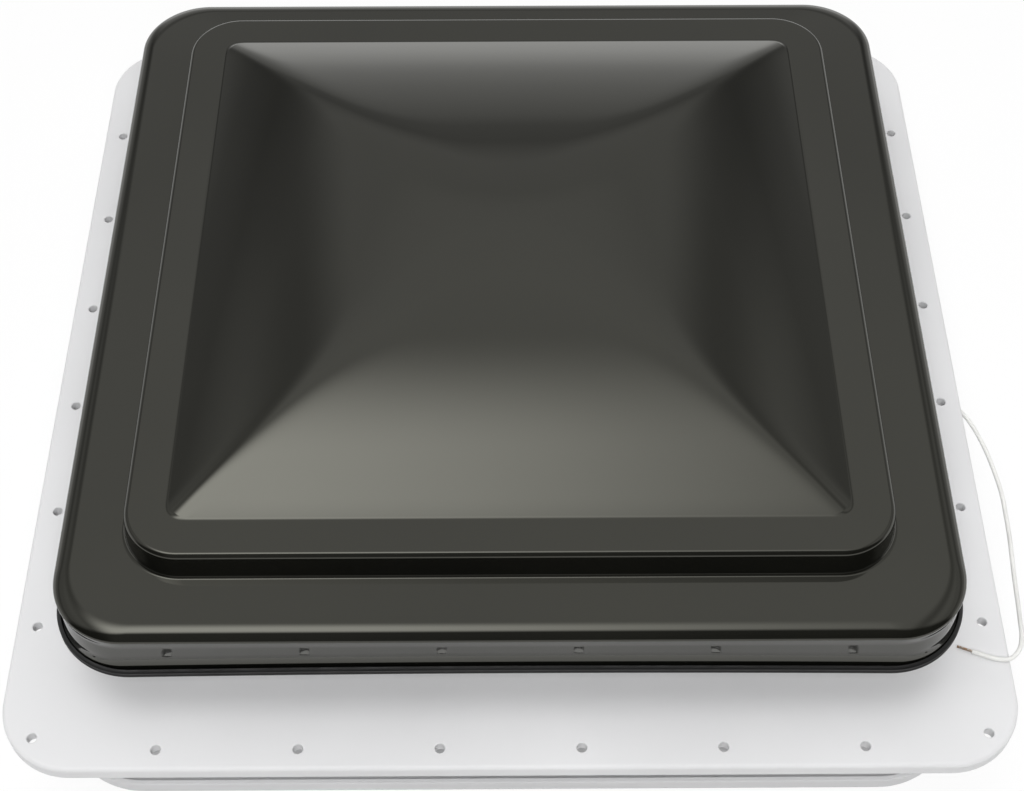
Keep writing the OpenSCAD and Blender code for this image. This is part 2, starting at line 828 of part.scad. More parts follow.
// Ceiling trim ring with the neck that slides into the throat
module trim_ring() {
    chamfer = 3;
    color(white_plastic)
    difference() {
        slab(ring_w, ring_r, -ring_bottom, -ceiling);
        slab(ring_w - 2 * ring_t, ring_r - ring_t, -ring_bottom + ring_t, -ceiling + 1);
        slab(2 * neck_in, neck_r - ring_t, -ring_bottom - 1, -ceiling);
        rounded_frame(ring_w, ring_r)
            polygon([[ring_r - chamfer, -ring_bottom - eps],
                [ring_r - chamfer, -ring_bottom - 1], [ring_r + 1, -ring_bottom - 1],
                [ring_r + 1, -ring_bottom + chamfer],
                [ring_r + eps, -ring_bottom + chamfer]]);
    }
}

// Neck that stands on the trim ring and slides up into the throat
module trim_neck() {
    color(white_plastic)
    difference() {
        slab(2 * neck_half, neck_r, -ring_bottom + ring_t, -neck_top);
        slab(2 * neck_in, neck_r - ring_t, -ring_bottom, -neck_top + 1);
        at_trim_screws()
            translate([0, 0, -ring_t - 1])
                cylinder(d = neck_screw_d + 0.4, h = ring_t + 2);
    }
}

// Ledge inside the neck that carries the insect screen
module screen_ledge() {
    color(white_plastic)
    difference() {
        slab(2 * neck_in, neck_r - ring_t, -screen_z - ledge_t, -screen_z);
        slab(2 * (neck_in - ledge_w), neck_r - ring_t, -screen_z - ledge_t - 1, -screen_z + 1);
    }
}

module trim_screws() {
    color(zinc_steel)
    at_trim_screws()
        screw(neck_screw_d, ring_t + neck_play + wall_t + 1.5, neck_screw_d + 2.6, 2.2);
}

// Frame of the insect screen with the switch panel and the crank's eyelet
module screen_frame() {
    inner = screen_half - screen_b;
    frame_r = throat_r - wall_t - neck_play - ring_t - 0.5;
    panel_l = switch_l + 16;
    panel_x = switch_x - switch_w / 2 - 10;
    color(white_plastic)
    translate([0, 0, -screen_z])
        linear_extrude(screen_t)
            difference() {
                union() {
                    difference() {
                        rounded_square(2 * screen_half, frame_r);
                        rounded_square(2 * inner, 6);
                    }
                    translate([panel_x, -panel_l / 2])
                        square([inner + 1 - panel_x, panel_l]);
                    translate([-inner - 1, -5])
                        square([inner + 1 + op_x, 10]);
                    translate([op_x, 0])
                        circle(d = crank_d + 16);
                }
                translate([switch_x, 0])
                    square([switch_w + 0.4, switch_l + 0.4], center = true);
                translate([op_x, 0])
                    circle(d = crank_d + 6);
            }
}

// Flat wire mesh that lies on the screen frame
module insect_mesh() {
    color(grey_plastic)
    translate([0, 0, mesh_z])
        linear_extrude(mesh_t)
            difference() {
                for (i = [0 : mesh_gaps]) {
                    translate([-mesh_half + i * mesh_step, -mesh_half])
                        square([wire_t, 2 * mesh_half]);
                    translate([-mesh_half, -mesh_half + i * mesh_step])
                        square([2 * mesh_half, wire_t]);
                }
                translate([switch_x, 0])
                    square([switch_w + 3, switch_l + 3], center = true);
                translate([op_x, 0])
                    circle(d = crank_d + 6);
            }
}

// Body of the rocker switch with its bezel under the panel
module switch_body() {
    rz = -screen_z - 0.5;
    color(black_rubber)
    difference() {
        union() {
            translate([switch_x - switch_w / 2, -switch_l / 2, -screen_z - 1])
                cube([switch_w, switch_l, switch_top + screen_z + 1]);
            translate([switch_x - switch_w / 2 - 2.5, -switch_l / 2 - 2.5, -screen_z - 2])
                cube([switch_w + 5, switch_l + 5, 2]);
        }
        translate([switch_x - switch_w / 2 + 2, -switch_l / 2 + 2, -screen_z - 3])
            cube([switch_w - 4, switch_l - 4, 9]);
        bar_x(switch_x - switch_w / 2 + 0.5, switch_x + switch_w / 2 - 0.5, 0, rz,
            3 + 2 * run_clear);
    }
}

// Rocker that tips on its two trunnions
module switch_rocker() {
    rz = -screen_z - 0.5;
    half = switch_l / 2 - 2.9;
    color(white_plastic) {
        translate([switch_x - switch_w / 2 + 2.4, 0, rz])
            rotate([9, 0, 0])
                along_x(0, switch_w - 4.8)
                    polygon([[-half, 1], [-half, -3.2], [-half + 1.2, -3.4], [0, -2.4],
                        [half - 1.2, -3.4], [half, -3.2], [half, 1], [2.2, 2.6], [-2.2, 2.6]]);
        bar_x(switch_x - switch_w / 2 + 0.8, switch_x + switch_w / 2 - 0.8, 0, rz, 3);
    }
}

// Grommet moulded round the lead in the throat's wall
module lead_grommet() {
    color(black_rubber) {
        bar_x(duct_half - 2, duct_half, grommet_y, grommet_z, grommet_rim);
        bar_x(duct_half - eps, throat_w / 2 + eps, grommet_y, grommet_z, grommet_d);
        bar_x(throat_w / 2, lead_x, grommet_y, grommet_z, grommet_rim);
    }
}

module supply_lead() {
    color(white_plastic)
    tube(lead_route, lead_d, 2);
}

// Stripped end of the supply lead
module lead_tip() {
    n = len(lead_route);
    v = lead_route[n - 1] - lead_route[n - 2];
    color(zinc_steel)
    translate(lead_route[n - 1])
        rotate([0, acos(v.z / norm(v)), atan2(v.y, v.x)])
            cylinder(d = 0.55 * lead_d, h = tip_len);
}

module inner_lead() {
    color(white_plastic)
    tube(inner_route, lead_d, 2);
}

module motor_lead() {
    color(black_rubber)
    tube(motor_route, lead_d, 1);
}

// Clips that hold the motor lead under the strap
module wire_clips() {
    color(white_plastic)
    for (x = clip_xs)
        difference() {
            translate([x - 4, -1, strap_z - lead_d - 1.4])
                cube([8, 10, lead_d + 1.4]);
            translate([x - 5, 4 - lead_d / 2 - 0.2, strap_z - lead_d - 0.3])
                cube([10, lead_d + 0.4, lead_d + 2]);
        }
}

// Top of the lid: the step's flat border and the dome
module lid_shell() {
    shares = [0.08, 0.18, 0.28, 0.38, 0.48, 0.58, 0.68, 0.77, 0.85, 0.92, 0.98];
    last = len(shares) - 1;
    rings = concat(
        [for (m = shares) dome_ring(m, 0)],
        [lid_ring(dome_half, dome_r, step_z, 0)],
        [lid_ring(seam_half, step_flow + seam_half, step_z, 0)],
        [lid_ring(seam_half, step_flow + seam_half, step_under, 0)],
        [lid_ring(dome_half, dome_r, step_under, 0)],
        [for (k = [0 : last]) dome_ring(shares[last - k], -lid_t)]);
    pts = concat(
        [for (g = rings) each g],
        [[0, 0, step_z + dome_h], [0, 0, step_under + dome_h]]);
    color(smoke_plastic)
    difference() {
        union() {
            polyhedron(pts, ring_faces(len(rings), 56), convexity = 10);
            for (s = [-1, 1])
                translate([boss_x, s * foot_mid, step_under - boss_h])
                    cylinder(d = rail_boss_d, h = boss_h + 0.5);
        }
        for (s = [-1, 1])
            translate([boss_x, s * foot_mid, step_under - boss_h - 1])
                cylinder(d = 3 + 2 * fit, h = boss_h + 0.5);
    }
}

// Step of the lid: its edge, the riser and the inner half of the ledge
module lid_riser() {
    rows = [
        [seam_half, step_flow + seam_half, step_z],
        [step_half - 3, step_flow + step_half - 3, step_z],
        [step_half - 1.5, step_flow + step_half - 1.5, step_z - 0.5],
        [step_half - 0.9, step_flow + step_half - 0.9, step_z - 2],
        [step_half + 0.7, step_flow + step_half + 0.7, ledge_z + 1.2],
        [step_half + 1.5, step_flow + step_half + 1.5, ledge_z + 0.3],
        [ledge_seam, lid_r - 5, ledge_z],
        [ledge_seam, lid_r - 5, ledge_under],
        [step_half + 0.8 - lid_t, step_flow + step_half + 0.8 - lid_t, ledge_under + 0.3],
        [step_half - 1 - lid_t, step_flow + step_half - 1 - lid_t, step_under],
        [seam_half, step_flow + seam_half, step_under]];
    pts = [for (g = rows) each lid_ring(g[0], g[1], g[2], 0)];
    color(smoke_plastic)
    polyhedron(pts, loop_faces(len(rows), 56), convexity = 10);
}

// Side of the lid: the outer half of the ledge, the skirt and its flared lip
module lid_skirt() {
    flare = lip_out - lip_flat;
    rows = [
        [ledge_seam, lid_r - 5, ledge_z, 0],
        [lid_half - 4, lid_r - 4, ledge_z, 0],
        [lid_half - 1.8, lid_r - 1.8, ledge_z - 0.6, 0],
        [lid_half - 0.5, lid_r - 0.5, ledge_z - 2, 0],
        [lid_half, lid_r, ledge_z - 4.4, 0],
        [lid_half - 0.3, lid_r - 0.3, ledge_z - 13, 0],
        [lid_half, lid_r, lid_z + lip_t + 3, 1],
        [lid_half + 0.15 * flare, lid_r + 0.15 * flare, lid_z + lip_t + 1.2, 1],
        [lid_half + 0.5 * flare, lid_r + 0.5 * flare, lid_z + lip_t + 0.3, 1],
        [lid_half + flare, lid_r + flare, lid_z + lip_t, 1],
        [lip_half - 0.6, lid_r + lip_out - 0.6, lid_z + lip_t, 1],
        [lip_half, lid_r + lip_out, lid_z + lip_t - 0.6, 1],
        [lip_half, lid_r + lip_out, lid_z + 0.6, 1],
        [lip_half - 0.6, lid_r + lip_out - 0.6, lid_z, 1],
        [lid_half + 0.9 - lid_t, lid_r + 0.9 - lid_t, lid_z, 1],
        [lid_half - lid_t, lid_r - lid_t, ledge_under - 2.5, 0],
        [lid_half - lid_t - 2.5, lid_r - lid_t - 2.5, ledge_under, 0],
        [ledge_seam, lid_r - 5, ledge_under, 0]];
    pts = [for (g = rows) each lid_ring(g[0], g[1], g[2], g[3])];
    color(smoke_plastic)
    difference() {
        polyhedron(pts, loop_faces(len(rows), 56), convexity = 10);
        translate([-hinge_gap / 2, lid_half + 0.85, lid_z - 5])
            cube([hinge_gap, 20, lip_bow + lip_t + 8]);
        at_leaf_rivets()
            translate([0, 0, -8])
                cylinder(d = rivet_d + 2 * fit, h = 10);
    }
}

// Places of the leaves' rivets on the skirt's face, with +Z pointing to the rear
module at_leaf_rivets() {
    for (sx = [-1, 1], s = [-1, 1])
        translate([sx * hinge_span / 2 + s * 6.5, lid_half, ledge_z - 13])
            rotate([-90, 0, 0])
                children();
}

// Rubber trim round the lip, open along the rear edge
module lid_edge_trim() {
    tr = trim_rubber;
    tc = trim_clear;
    back = lip_flat - 0.1;
    profile = [[-lip_out - 1, -tr], [-lip_out - 1, -tc], [tc, -tc], [tc, lip_t + tc],
        [-back, lip_t + tc], [-back, lip_t + tr], [tc + 0.6, lip_t + tr],
        [tc + tr + 0.2, lip_t + tr - 0.9], [tc + tr - 0.3, lip_t / 2],
        [tc + tr + 0.3, 1.2 - tr], [tc + 0.8, -tr]];
    pts = [for (g = profile) each lid_ring(lip_half + g.x, lid_r + lip_out + g.x, lid_z + g.y, 1)];
    color(black_rubber)
    difference() {
        polyhedron(pts, loop_faces(len(profile), 56), convexity = 10);
        translate([-hinge_gap / 2 - 1, lid_half - 8, lid_z - 5])
            cube([hinge_gap + 2, 40, 30]);
    }
}

// Leaf of one hinge on the lid's rear skirt
module hinge_leaf(sx) {
    x = sx * hinge_span / 2;
    color(zinc_steel)
    difference() {
        union() {
            translate([x - leaf_w / 2, leaf_y, hinge_z])
                cube([leaf_w, leaf_t, ledge_z - 6 - hinge_z]);
            bar_x(x - leaf_w / 2, x + leaf_w / 2, hinge_y, hinge_z, 2 * barrel_r);
        }
        bar_x(x - leaf_w / 2 - 1, x + leaf_w / 2 + 1, hinge_y, hinge_z, pin_d + 2 * run_clear);
        at_leaf_rivets()
            cylinder(d = rivet_d + 2 * fit, h = leaf_t + 2);
    }
}

module hinge_leaf_left() {
    hinge_leaf(-1);
}

module hinge_leaf_right() {
    hinge_leaf(1);
}

module leaf_rivets() {
    top = leaf_y + leaf_t - lid_half;
    color(zinc_steel)
    at_leaf_rivets() {
        translate([0, 0, -lid_t - 1.3])
            cylinder(d = rivet_d, h = lid_t + 1.3 + top + eps);
        translate([0, 0, top])
            cylinder(d = rivet_d + 3.4, h = 1.5);
        translate([0, 0, -lid_t - 1.4])
            cylinder(d = rivet_d + 2, h = 1.4);
    }
}

// Side-open track under the lid that guides the roller
module lid_rail() {
    s0 = (hinge_y - rail_reach) / cos(rail_slope);
    s1 = (hinge_y + rail_reach) / cos(rail_slope);
    foot_top = step_under - boss_h;
    rear_z = hinge_z + (hinge_y - foot_mid) * tan(rail_slope);
    color(zinc_steel)
    difference() {
        union() {
            translate([0, hinge_y, hinge_z])
                rotate([-rail_slope, 0, 0]) {
                    translate([rail_web, -s1, -rail_h])
                        cube([rail_t, s1 - s0, 2 * rail_h]);
                    for (z = [-rail_h, track_h])
                        translate([rail_x0, -s1, z])
                            cube([rail_web - rail_x0 + eps, s1 - s0, rail_t]);
                }
            translate([rail_web, foot_mid - rail_foot / 2, rear_z])
                cube([rail_t, rail_foot, foot_top - rear_z]);
            for (s = [-1, 1])
                translate([rail_web, s * foot_mid - rail_foot / 2, foot_top - rail_t])
                    cube([2 * (boss_x - rail_web), rail_foot, rail_t]);
        }
        for (s = [-1, 1])
            translate([boss_x, s * foot_mid, foot_top - rail_t - 1])
                cylinder(d = 3.4, h = rail_t + 2);
    }
}

module rail_screws() {
    color(zinc_steel)
    for (s = [-1, 1])
        translate([boss_x, s * foot_mid, step_under - boss_h - rail_t])
            rotate([180, 0, 0])
                screw(3, rail_t + boss_h - 1.2, 6, 2);
}

// Flat arm from the operator to the roller
module lift_arm() {
    color(zinc_steel)
    difference() {
        along_x(arm_x0, arm_x1) {
            translate([pivot_y, pivot_z]) {
                circle(d = arm_w + 2);
                rotate(-arm_lean)
                    translate([-arm_len, -arm_w / 2])
                        square([arm_len, arm_w]);
            }
            translate([tip_y, tip_z])
                circle(d = arm_w);
        }
        bar_x(arm_x0 - 1, arm_x1 + 1, pivot_y, pivot_z, arm_shaft_d - 2 + 2 * fit);
        bar_x(arm_x0 - 1, arm_x1 + 1, tip_y, tip_z, roller_pin_d + 2 * fit);
    }
}

// Stepped shaft of the worm wheel and the lift arm
module arm_shaft() {
    color(zinc_steel) {
        bar_x(case_x0 + 0.3, op_x, pivot_y, pivot_z, arm_shaft_d - 3);
        bar_x(op_x - wheel_t / 2, arm_x0 - 0.1, pivot_y, pivot_z, arm_shaft_d);
        bar_x(op_x, arm_x1 + 1, pivot_y, pivot_z, arm_shaft_d - 2);
    }
}

// Worm wheel with rounded teeth
module worm_wheel() {
    color(bronze)
    difference() {
        along_x(op_x - wheel_t / 2, op_x + wheel_t / 2)
            translate([pivot_y, pivot_z])
                polygon([for (i = [0 : 8 * wheel_teeth - 1])
                    let (a = 180 + i * 360 / (8 * wheel_teeth))
                    (wheel_pr - tooth_a * cos(360 * i / 8)) * [cos(a), sin(a)]]);
        bar_x(op_x - wheel_t, op_x + wheel_t, pivot_y, pivot_z, arm_shaft_d + 2 * fit);
    }
}

module roller_pin() {
    color(zinc_steel) {
        bar_x(arm_x0, roller_x1, tip_y, tip_z, roller_pin_d);
        bar_x(arm_x0 - 0.8, arm_x0, tip_y, tip_z, roller_pin_d + 2);
        bar_x(arm_x1, roller_x0 - 0.2, tip_y, tip_z, roller_pin_d + 2);
    }
}

module arm_roller() {
    color(white_plastic)
    difference() {
        bar_x(roller_x0, roller_x1, tip_y, tip_z, roller_d);
        bar_x(roller_x0 - 1, roller_x1 + 1, tip_y, tip_z, roller_pin_d + 2 * run_clear);
    }
}

// Crank shaft with the collar under the worm
module crank_shaft() {
    low = strap_top + case_t + 0.3;
    color(zinc_steel)
    translate([op_x, 0, 0]) {
        translate([0, 0, handle_bottom - 2])
            cylinder(d = crank_d, h = case_top - 0.5 - handle_bottom + 2);
        translate([0, 0, low])
            cylinder(d = crank_d + 3, h = pivot_z - worm_len / 2 - low);
    }
}

// Worm with a rounded right-hand thread and a plain hub above it
module worm() {
    rows = 50;
    cols = 20;
    z0 = pivot_z - worm_len / 2;
    pts = [for (i = [0 : rows], j = [0 : cols - 1])
        let (
            z = z0 + worm_len * i / rows,
            a = 360 * j / cols,
            r = worm_pr + tooth_a * cos(360 * (z - pivot_z) / worm_pitch - a + 90))
        [r * cos(a), r * sin(a), z]];
    faces = concat(
        [[for (j = [0 : cols - 1]) j]],
        [for (i = [0 : rows - 1], j = [0 : cols - 1])
            [i * cols + j, (i + 1) * cols + j, (i + 1) * cols + (j + 1) % cols]],
        [for (i = [0 : rows - 1], j = [0 : cols - 1])
            [i * cols + j, (i + 1) * cols + (j + 1) % cols, i * cols + (j + 1) % cols]],
        [[for (j = [cols - 1 : -1 : 0]) rows * cols + j]]);
    top = case_top - case_t - 0.3;
    color(zinc_steel)
    translate([op_x, 0, 0])
        difference() {
            union() {
                polyhedron(pts, faces, convexity = 10);
                translate([0, 0, z0 + worm_len - eps])
                    cylinder(d = crank_d + 3, h = top - z0 - worm_len + eps);
            }
            translate([0, 0, z0 - 1])
                cylinder(d = crank_d + 2 * fit, h = case_top);
        }
}

// Crank handle under the insect screen
module crank_handle() {
    color(white_plastic)
    translate([op_x, 0, 0])
        difference() {
            union() {
                translate([0, 0, handle_bottom - 2.5])
                    cylinder(d = handle_hub, h = crank_t + 5);
                translate([0, 0, handle_bottom])
                    linear_extrude(crank_t) {
                        translate([-handle_w / 2, 0])
                            square([handle_w, crank_len]);
                        translate([0, crank_len])
                            circle(d = handle_w);
                    }
            }
            translate([0, 0, handle_bottom - 2])
                cylinder(d = crank_d + 2 * fit, h = crank_t + 10);
            translate([0, crank_len, handle_bottom - 1])
                cylinder(d = knob_pin_d + 2 * fit, h = crank_t + 2);
            translate([0, 0, handle_bottom + crank_t / 2])
                rotate([90, 0, 0])
                    cylinder(d = 3 + 2 * fit, h = 12);
        }
}

module crank_set_screw() {
    color(zinc_steel)
    translate([op_x, -crank_d / 2, handle_bottom + crank_t / 2])
        rotate([90, 0, 0])
            cylinder(d = 3, h = 4);
}

// Shoulder pin of the knob
module knob_pin() {
    low = handle_bottom - 0.5 - knob_len;
    color(zinc_steel)
    translate([op_x, crank_len, 0]) {
        translate([0, 0, low + 2.7])
            cylinder(d = knob_pin_d, h = handle_top - low - 2.7);
        translate([0, 0, handle_top])
            cylinder(d = knob_pin_d + 3, h = 1.4);
        translate([0, 0, low + 0.8])
            cylinder(d = knob_pin_d + 2, h = 2);
    }
}

module crank_knob() {
    low = handle_bottom - 0.5 - knob_len;
    color(black_rubber)
    translate([op_x, crank_len, low])
        difference() {
            rotate_extrude()
                polygon([[0, 0], [knob_d / 2 - 1.5, 0], [knob_d / 2, 1.5],
                    [knob_d / 2, knob_len - 3], [knob_d / 2 - 2, knob_len], [0, knob_len]]);
            translate([0, 0, -1])
                cylinder(d = knob_pin_d + 2 * run_clear, h = knob_len + 2);
            translate([0, 0, -1])
                cylinder(d = knob_pin_d + 2.8, h = 4.2);
        }
}

// Fan with flat pitched blades
module fan_rotor() {
    mid = hub_bottom + hub_h / 2;
    color(grey_plastic)
    difference() {
        union() {
            translate([0, 0, hub_bottom])
                cylinder(d = hub_d, h = hub_h);
            intersection() {
                for (i = [0 : fan_blades - 1])
                    rotate(i * 360 / fan_blades)
                        translate([0, 0, mid])
                            rotate([blade_pitch, 0, 0])
                                translate([hub_d / 3, -blade_w / 2, -blade_t / 2])
                                    cube([fan_d / 2, blade_w, blade_t]);
                translate([0, 0, mid - blade_w / 2])
                    cylinder(d = fan_d, h = blade_w);
            }
        }
        translate([0, 0, hub_bottom - 1])
            cylinder(d = fan_shaft_d + 2 * fit, h = hub_h + 2);
    }
}

module motor_shaft() {
    low = strap_z - motor_h + 12.5;
    color(zinc_steel)
    translate([0, 0, low])
        cylinder(d = fan_shaft_d, h = hub_bottom + hub_h + 5 - low);
}

module fan_nut() {
    color(zinc_steel)
    translate([0, 0, hub_bottom + hub_h])
        difference() {
            cylinder(d = 7, h = 3, $fn = 6);
            translate([0, 0, -1])
                cylinder(d = fan_shaft_d + 2 * fit, h = 5);
        }
}

roof_flange();
curb_gasket();
hinge_bracket_left();
hinge_bracket_right();
hinge_pin_left();
hinge_pin_right();
bracket_screws();
fan_strap();
strap_screws();
motor_can();
motor_end_cap();
motor_screws();
gear_case();
case_cover();
case_screws();
cover_screws();
trim_ring();
trim_neck();
screen_ledge();
trim_screws();
screen_frame();
insect_mesh();
switch_body();
lead_grommet();
supply_lead();
lead_tip();
inner_lead();
motor_lead();
wire_clips();
lid_shell();
lid_riser();
lid_skirt();
lid_edge_trim();
hinge_leaf_left();
hinge_leaf_right();
leaf_rivets();
lid_rail();
rail_screws();
lift_arm();
arm_shaft();
worm_wheel();
roller_pin();
arm_roller();
crank_shaft();
worm();
crank_handle();
crank_set_screw();
knob_pin();
crank_knob();
fan_rotor();
motor_shaft();
fan_nut();
switch_rocker();
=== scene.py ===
import json
from math import atan2, cos, hypot, pi, radians, sin, sqrt

import bmesh
import bpy
from mathutils import Matrix, Vector


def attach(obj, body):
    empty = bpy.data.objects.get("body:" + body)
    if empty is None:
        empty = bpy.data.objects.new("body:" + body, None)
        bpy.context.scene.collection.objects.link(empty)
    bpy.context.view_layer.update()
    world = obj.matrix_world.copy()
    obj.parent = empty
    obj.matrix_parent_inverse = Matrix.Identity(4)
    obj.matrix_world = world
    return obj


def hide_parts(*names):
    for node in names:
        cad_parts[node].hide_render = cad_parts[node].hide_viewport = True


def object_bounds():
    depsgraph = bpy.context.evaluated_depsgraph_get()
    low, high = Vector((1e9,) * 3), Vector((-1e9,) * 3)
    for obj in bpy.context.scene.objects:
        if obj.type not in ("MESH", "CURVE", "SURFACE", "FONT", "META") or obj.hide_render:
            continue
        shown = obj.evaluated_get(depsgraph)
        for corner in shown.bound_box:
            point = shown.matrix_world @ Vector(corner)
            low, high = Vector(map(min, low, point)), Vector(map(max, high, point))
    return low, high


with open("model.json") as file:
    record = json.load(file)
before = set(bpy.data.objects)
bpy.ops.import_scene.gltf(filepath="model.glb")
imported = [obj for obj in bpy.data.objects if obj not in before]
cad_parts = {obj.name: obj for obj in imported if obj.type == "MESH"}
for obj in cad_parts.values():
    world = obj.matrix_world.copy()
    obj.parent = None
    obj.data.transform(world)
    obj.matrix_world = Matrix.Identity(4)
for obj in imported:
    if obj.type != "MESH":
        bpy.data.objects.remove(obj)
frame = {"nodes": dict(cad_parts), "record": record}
cadBox = [list(corner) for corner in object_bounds()]
nodes = frame["nodes"]
slotOf = {part["node"]: part["material_slot"] for part in frame["record"]["subparts"]}
mm = 0.001  # sizes are in millimetres until a mesh is made, and the supply lead is in metres
print("frame loaded:", len(nodes), "nodes")


# camera at the viewing angle: a long lens held high in front of the vent
photo = {
    "width": 1024,
    "focal": 1731.9,  # focal length in pixels of that width
    "sensor": 36.0,
    "eye": (-1.41, -547.57, 727.24),
    "target": (1.61, -26.6, 8.0),
}


def makeCamera():
    data = bpy.data.cameras.new("photoCamera")
    data.sensor_width = photo["sensor"]
    data.lens = photo["focal"] * photo["sensor"] / photo["width"]
    camera = bpy.data.objects.new("photoCamera", data)
    bpy.context.scene.collection.objects.link(camera)
    eye = Vector(photo["eye"]) * mm
    camera.location = eye
    camera.rotation_euler = (Vector(photo["target"]) * mm - eye).to_track_quat("-Z", "Y").to_euler()
    bpy.context.scene.camera = camera


makeCamera()
bpy.context.scene.view_settings.view_transform = "Standard"
print("camera set")


def toLinear(hexColour):
    parts = [int(hexColour[i:i + 2], 16) / 255 for i in (1, 3, 5)]
    return [c / 12.92 if c <= 0.04045 else ((c + 0.055) / 1.055) ** 2.4 for c in parts] + [1.0]


def perMm(size):
    return 1.0 / (size * mm)  # texture scale for a feature of that many millimetres


def addNode(tree, kind, settings=None, links=None):
    node = tree.nodes.new(kind)
    for key, value in (settings or {}).items():
        if key == "stops":  # places and colours along a ramp
            while len(node.color_ramp.elements) < len(value):
                node.color_ramp.elements.new(1.0)
            for element, (place, colour) in zip(node.color_ramp.elements, value):
                element.position = place
                element.color = colour
        elif key in node.inputs:
            node.inputs[key].default_value = value
        else:
            setattr(node, key, value)
    for key, source in (links or {}).items():
        tree.links.new(source, node.inputs[key])
    return node


def newMaterial(name):
    material = bpy.data.materials.new(name)
    material.use_nodes = True
    tree = material.node_tree
    tree.nodes.clear()
    shader = addNode(tree, "ShaderNodeBsdfPrincipled")
    addNode(tree, "ShaderNodeOutputMaterial", links={"Surface": shader.outputs["BSDF"]})
    place = addNode(tree, "ShaderNodeTexCoord").outputs["Object"]
    return material, tree, shader, place


noiseSpan = {"colour": (0.36, 0.64), "gloss": (0.3, 0.7)}  # nearly all of a noise lies between these


# colour drift, uneven gloss and a two-scale relief: what every moulded, drawn or plated skin here has
def dressSurface(tree, shader, place, look):
    drift = addNode(tree, "ShaderNodeTexNoise", {"Scale": perMm(look["driftMm"]), "Detail": 3.0}, {"Vector": place})
    low, high = noiseSpan["colour"]
    colour = addNode(tree, "ShaderNodeValToRGB", {
        "stops": [(low, toLinear(look["dark"])), (high, toLinear(look["light"]))]}, {"Fac": drift.outputs["Fac"]})
    tree.links.new(colour.outputs["Color"], shader.inputs["Base Color"])
    patch = addNode(tree, "ShaderNodeTexNoise", {"Scale": perMm(look["patchMm"]), "Detail": 4.0}, {"Vector": place})
    low, high = noiseSpan["gloss"]
    gloss = addNode(tree, "ShaderNodeMapRange", {
        "From Min": low, "From Max": high, "To Min": look["rough"][0], "To Max": look["rough"][1]},
        {"Value": patch.outputs["Fac"]})
    tree.links.new(gloss.outputs["Result"], shader.inputs["Roughness"])
    wave = addNode(tree, "ShaderNodeTexNoise", {"Scale": perMm(look["waveMm"]), "Detail": 1.0}, {"Vector": place})
    broad = addNode(tree, "ShaderNodeBump", {"Distance": look["waveHigh"] * mm}, {"Height": wave.outputs["Fac"]})
    grain = addNode(tree, "ShaderNodeTexNoise", {"Scale": perMm(look["grainMm"]), "Detail": 2.0}, {"Vector": place})
    fine = addNode(tree, "ShaderNodeBump", {"Distance": look["grainHigh"] * mm},
                   {"Height": grain.outputs["Fac"], "Normal": broad.outputs["Normal"]})
    tree.links.new(fine.outputs["Normal"], shader.inputs["Normal"])
    shader.inputs["Metallic"].default_value = look.get("metallic", 0.0)
    if "ior" in look:
        shader.inputs["IOR"].default_value = look["ior"]
    if "tint" in look:
        shader.inputs["Specular Tint"].default_value = toLinear(look["tint"])


# gloss-moulded smoke ABS: a deep olive black skin that mirrors the room, a little wavy where it cooled
glossSmokeAbs = {"dark": "#0F0F0D", "light": "#141411", "driftMm": 140, "rough": (0.03, 0.055), "patchMm": 24,
                 "waveMm": 85, "waveHigh": 0.09, "grainMm": 3.0, "grainHigh": 0.0012, "ior": 1.6, "tint": "#FFFEF0"}

# satin-moulded white ABS: soft even sheen, faint sink waves and a fine spark-eroded grain (drawn coarser)
satinWhiteAbs = {"dark": "#DADADB", "light": "#DFDFE0", "driftMm": 120, "rough": (0.34, 0.45), "patchMm": 14,
                 "waveMm": 60, "waveHigh": 0.05, "grainMm": 0.9, "grainHigh": 0.006, "ior": 1.53}

# extruded EPDM: dull black rubber with a grey bloom and the die's fine drag marks (drawn coarser)
extrudedEpdm = {"dark": "#0D0D0D", "light": "#141414", "driftMm": 18, "rough": (0.42, 0.58), "patchMm": 7,
                "waveMm": 26, "waveHigh": 0.04, "grainMm": 1.1, "grainHigh": 0.012, "ior": 1.5}

# zinc-plated pressed steel: cool bright metal, cloudy from the bath, with rolling marks
zincSteel = {"dark": "#AEB2B6", "light": "#C8CBCD", "driftMm": 9, "rough": (0.22, 0.40), "patchMm": 5,
             "waveMm": 22, "waveHigh": 0.03, "grainMm": 0.8, "grainHigh": 0.006, "metallic": 1.0}

# glass-filled grey nylon: matt mid grey with pale fibre swirls near the gate
glassNylon = {"dark": "#6A6D6F", "light": "#7D8082", "driftMm": 7, "rough": (0.46, 0.62), "patchMm": 4,
              "waveMm": 24, "waveHigh": 0.05, "grainMm": 0.9, "grainHigh": 0.014, "ior": 1.53}

# moulded black ABS: near-black, half matt, with a pebbled grip grain
mouldedBlackAbs = {"dark": "#1B1B1C", "light": "#252526", "driftMm": 12, "rough": (0.36, 0.50), "patchMm": 5,
                   "waveMm": 20, "waveHigh": 0.03, "grainMm": 0.8, "grainHigh": 0.015, "ior": 1.53}

# machined and moulded white acetal: waxy milk white with a low gleam
whiteAcetal = {"dark": "#E0DFDA", "light": "#E9E8E3", "driftMm": 16, "rough": (0.26, 0.36), "patchMm": 6,
               "waveMm": 18, "waveHigh": 0.03, "grainMm": 0.9, "grainHigh": 0.006, "ior": 1.48}

# extruded PVC insulation: soft plastic skin, slightly uneven where it cooled over the strands
whitePvc = {"dark": "#E2E2DF", "light": "#ECECE9", "driftMm": 10, "rough": (0.30, 0.42), "patchMm": 5,
            "waveMm": 9, "waveHigh": 0.05, "grainMm": 0.9, "grainHigh": 0.008, "ior": 1.53}
blackPvc = dict(whitePvc, dark="#18181A", light="#222224")

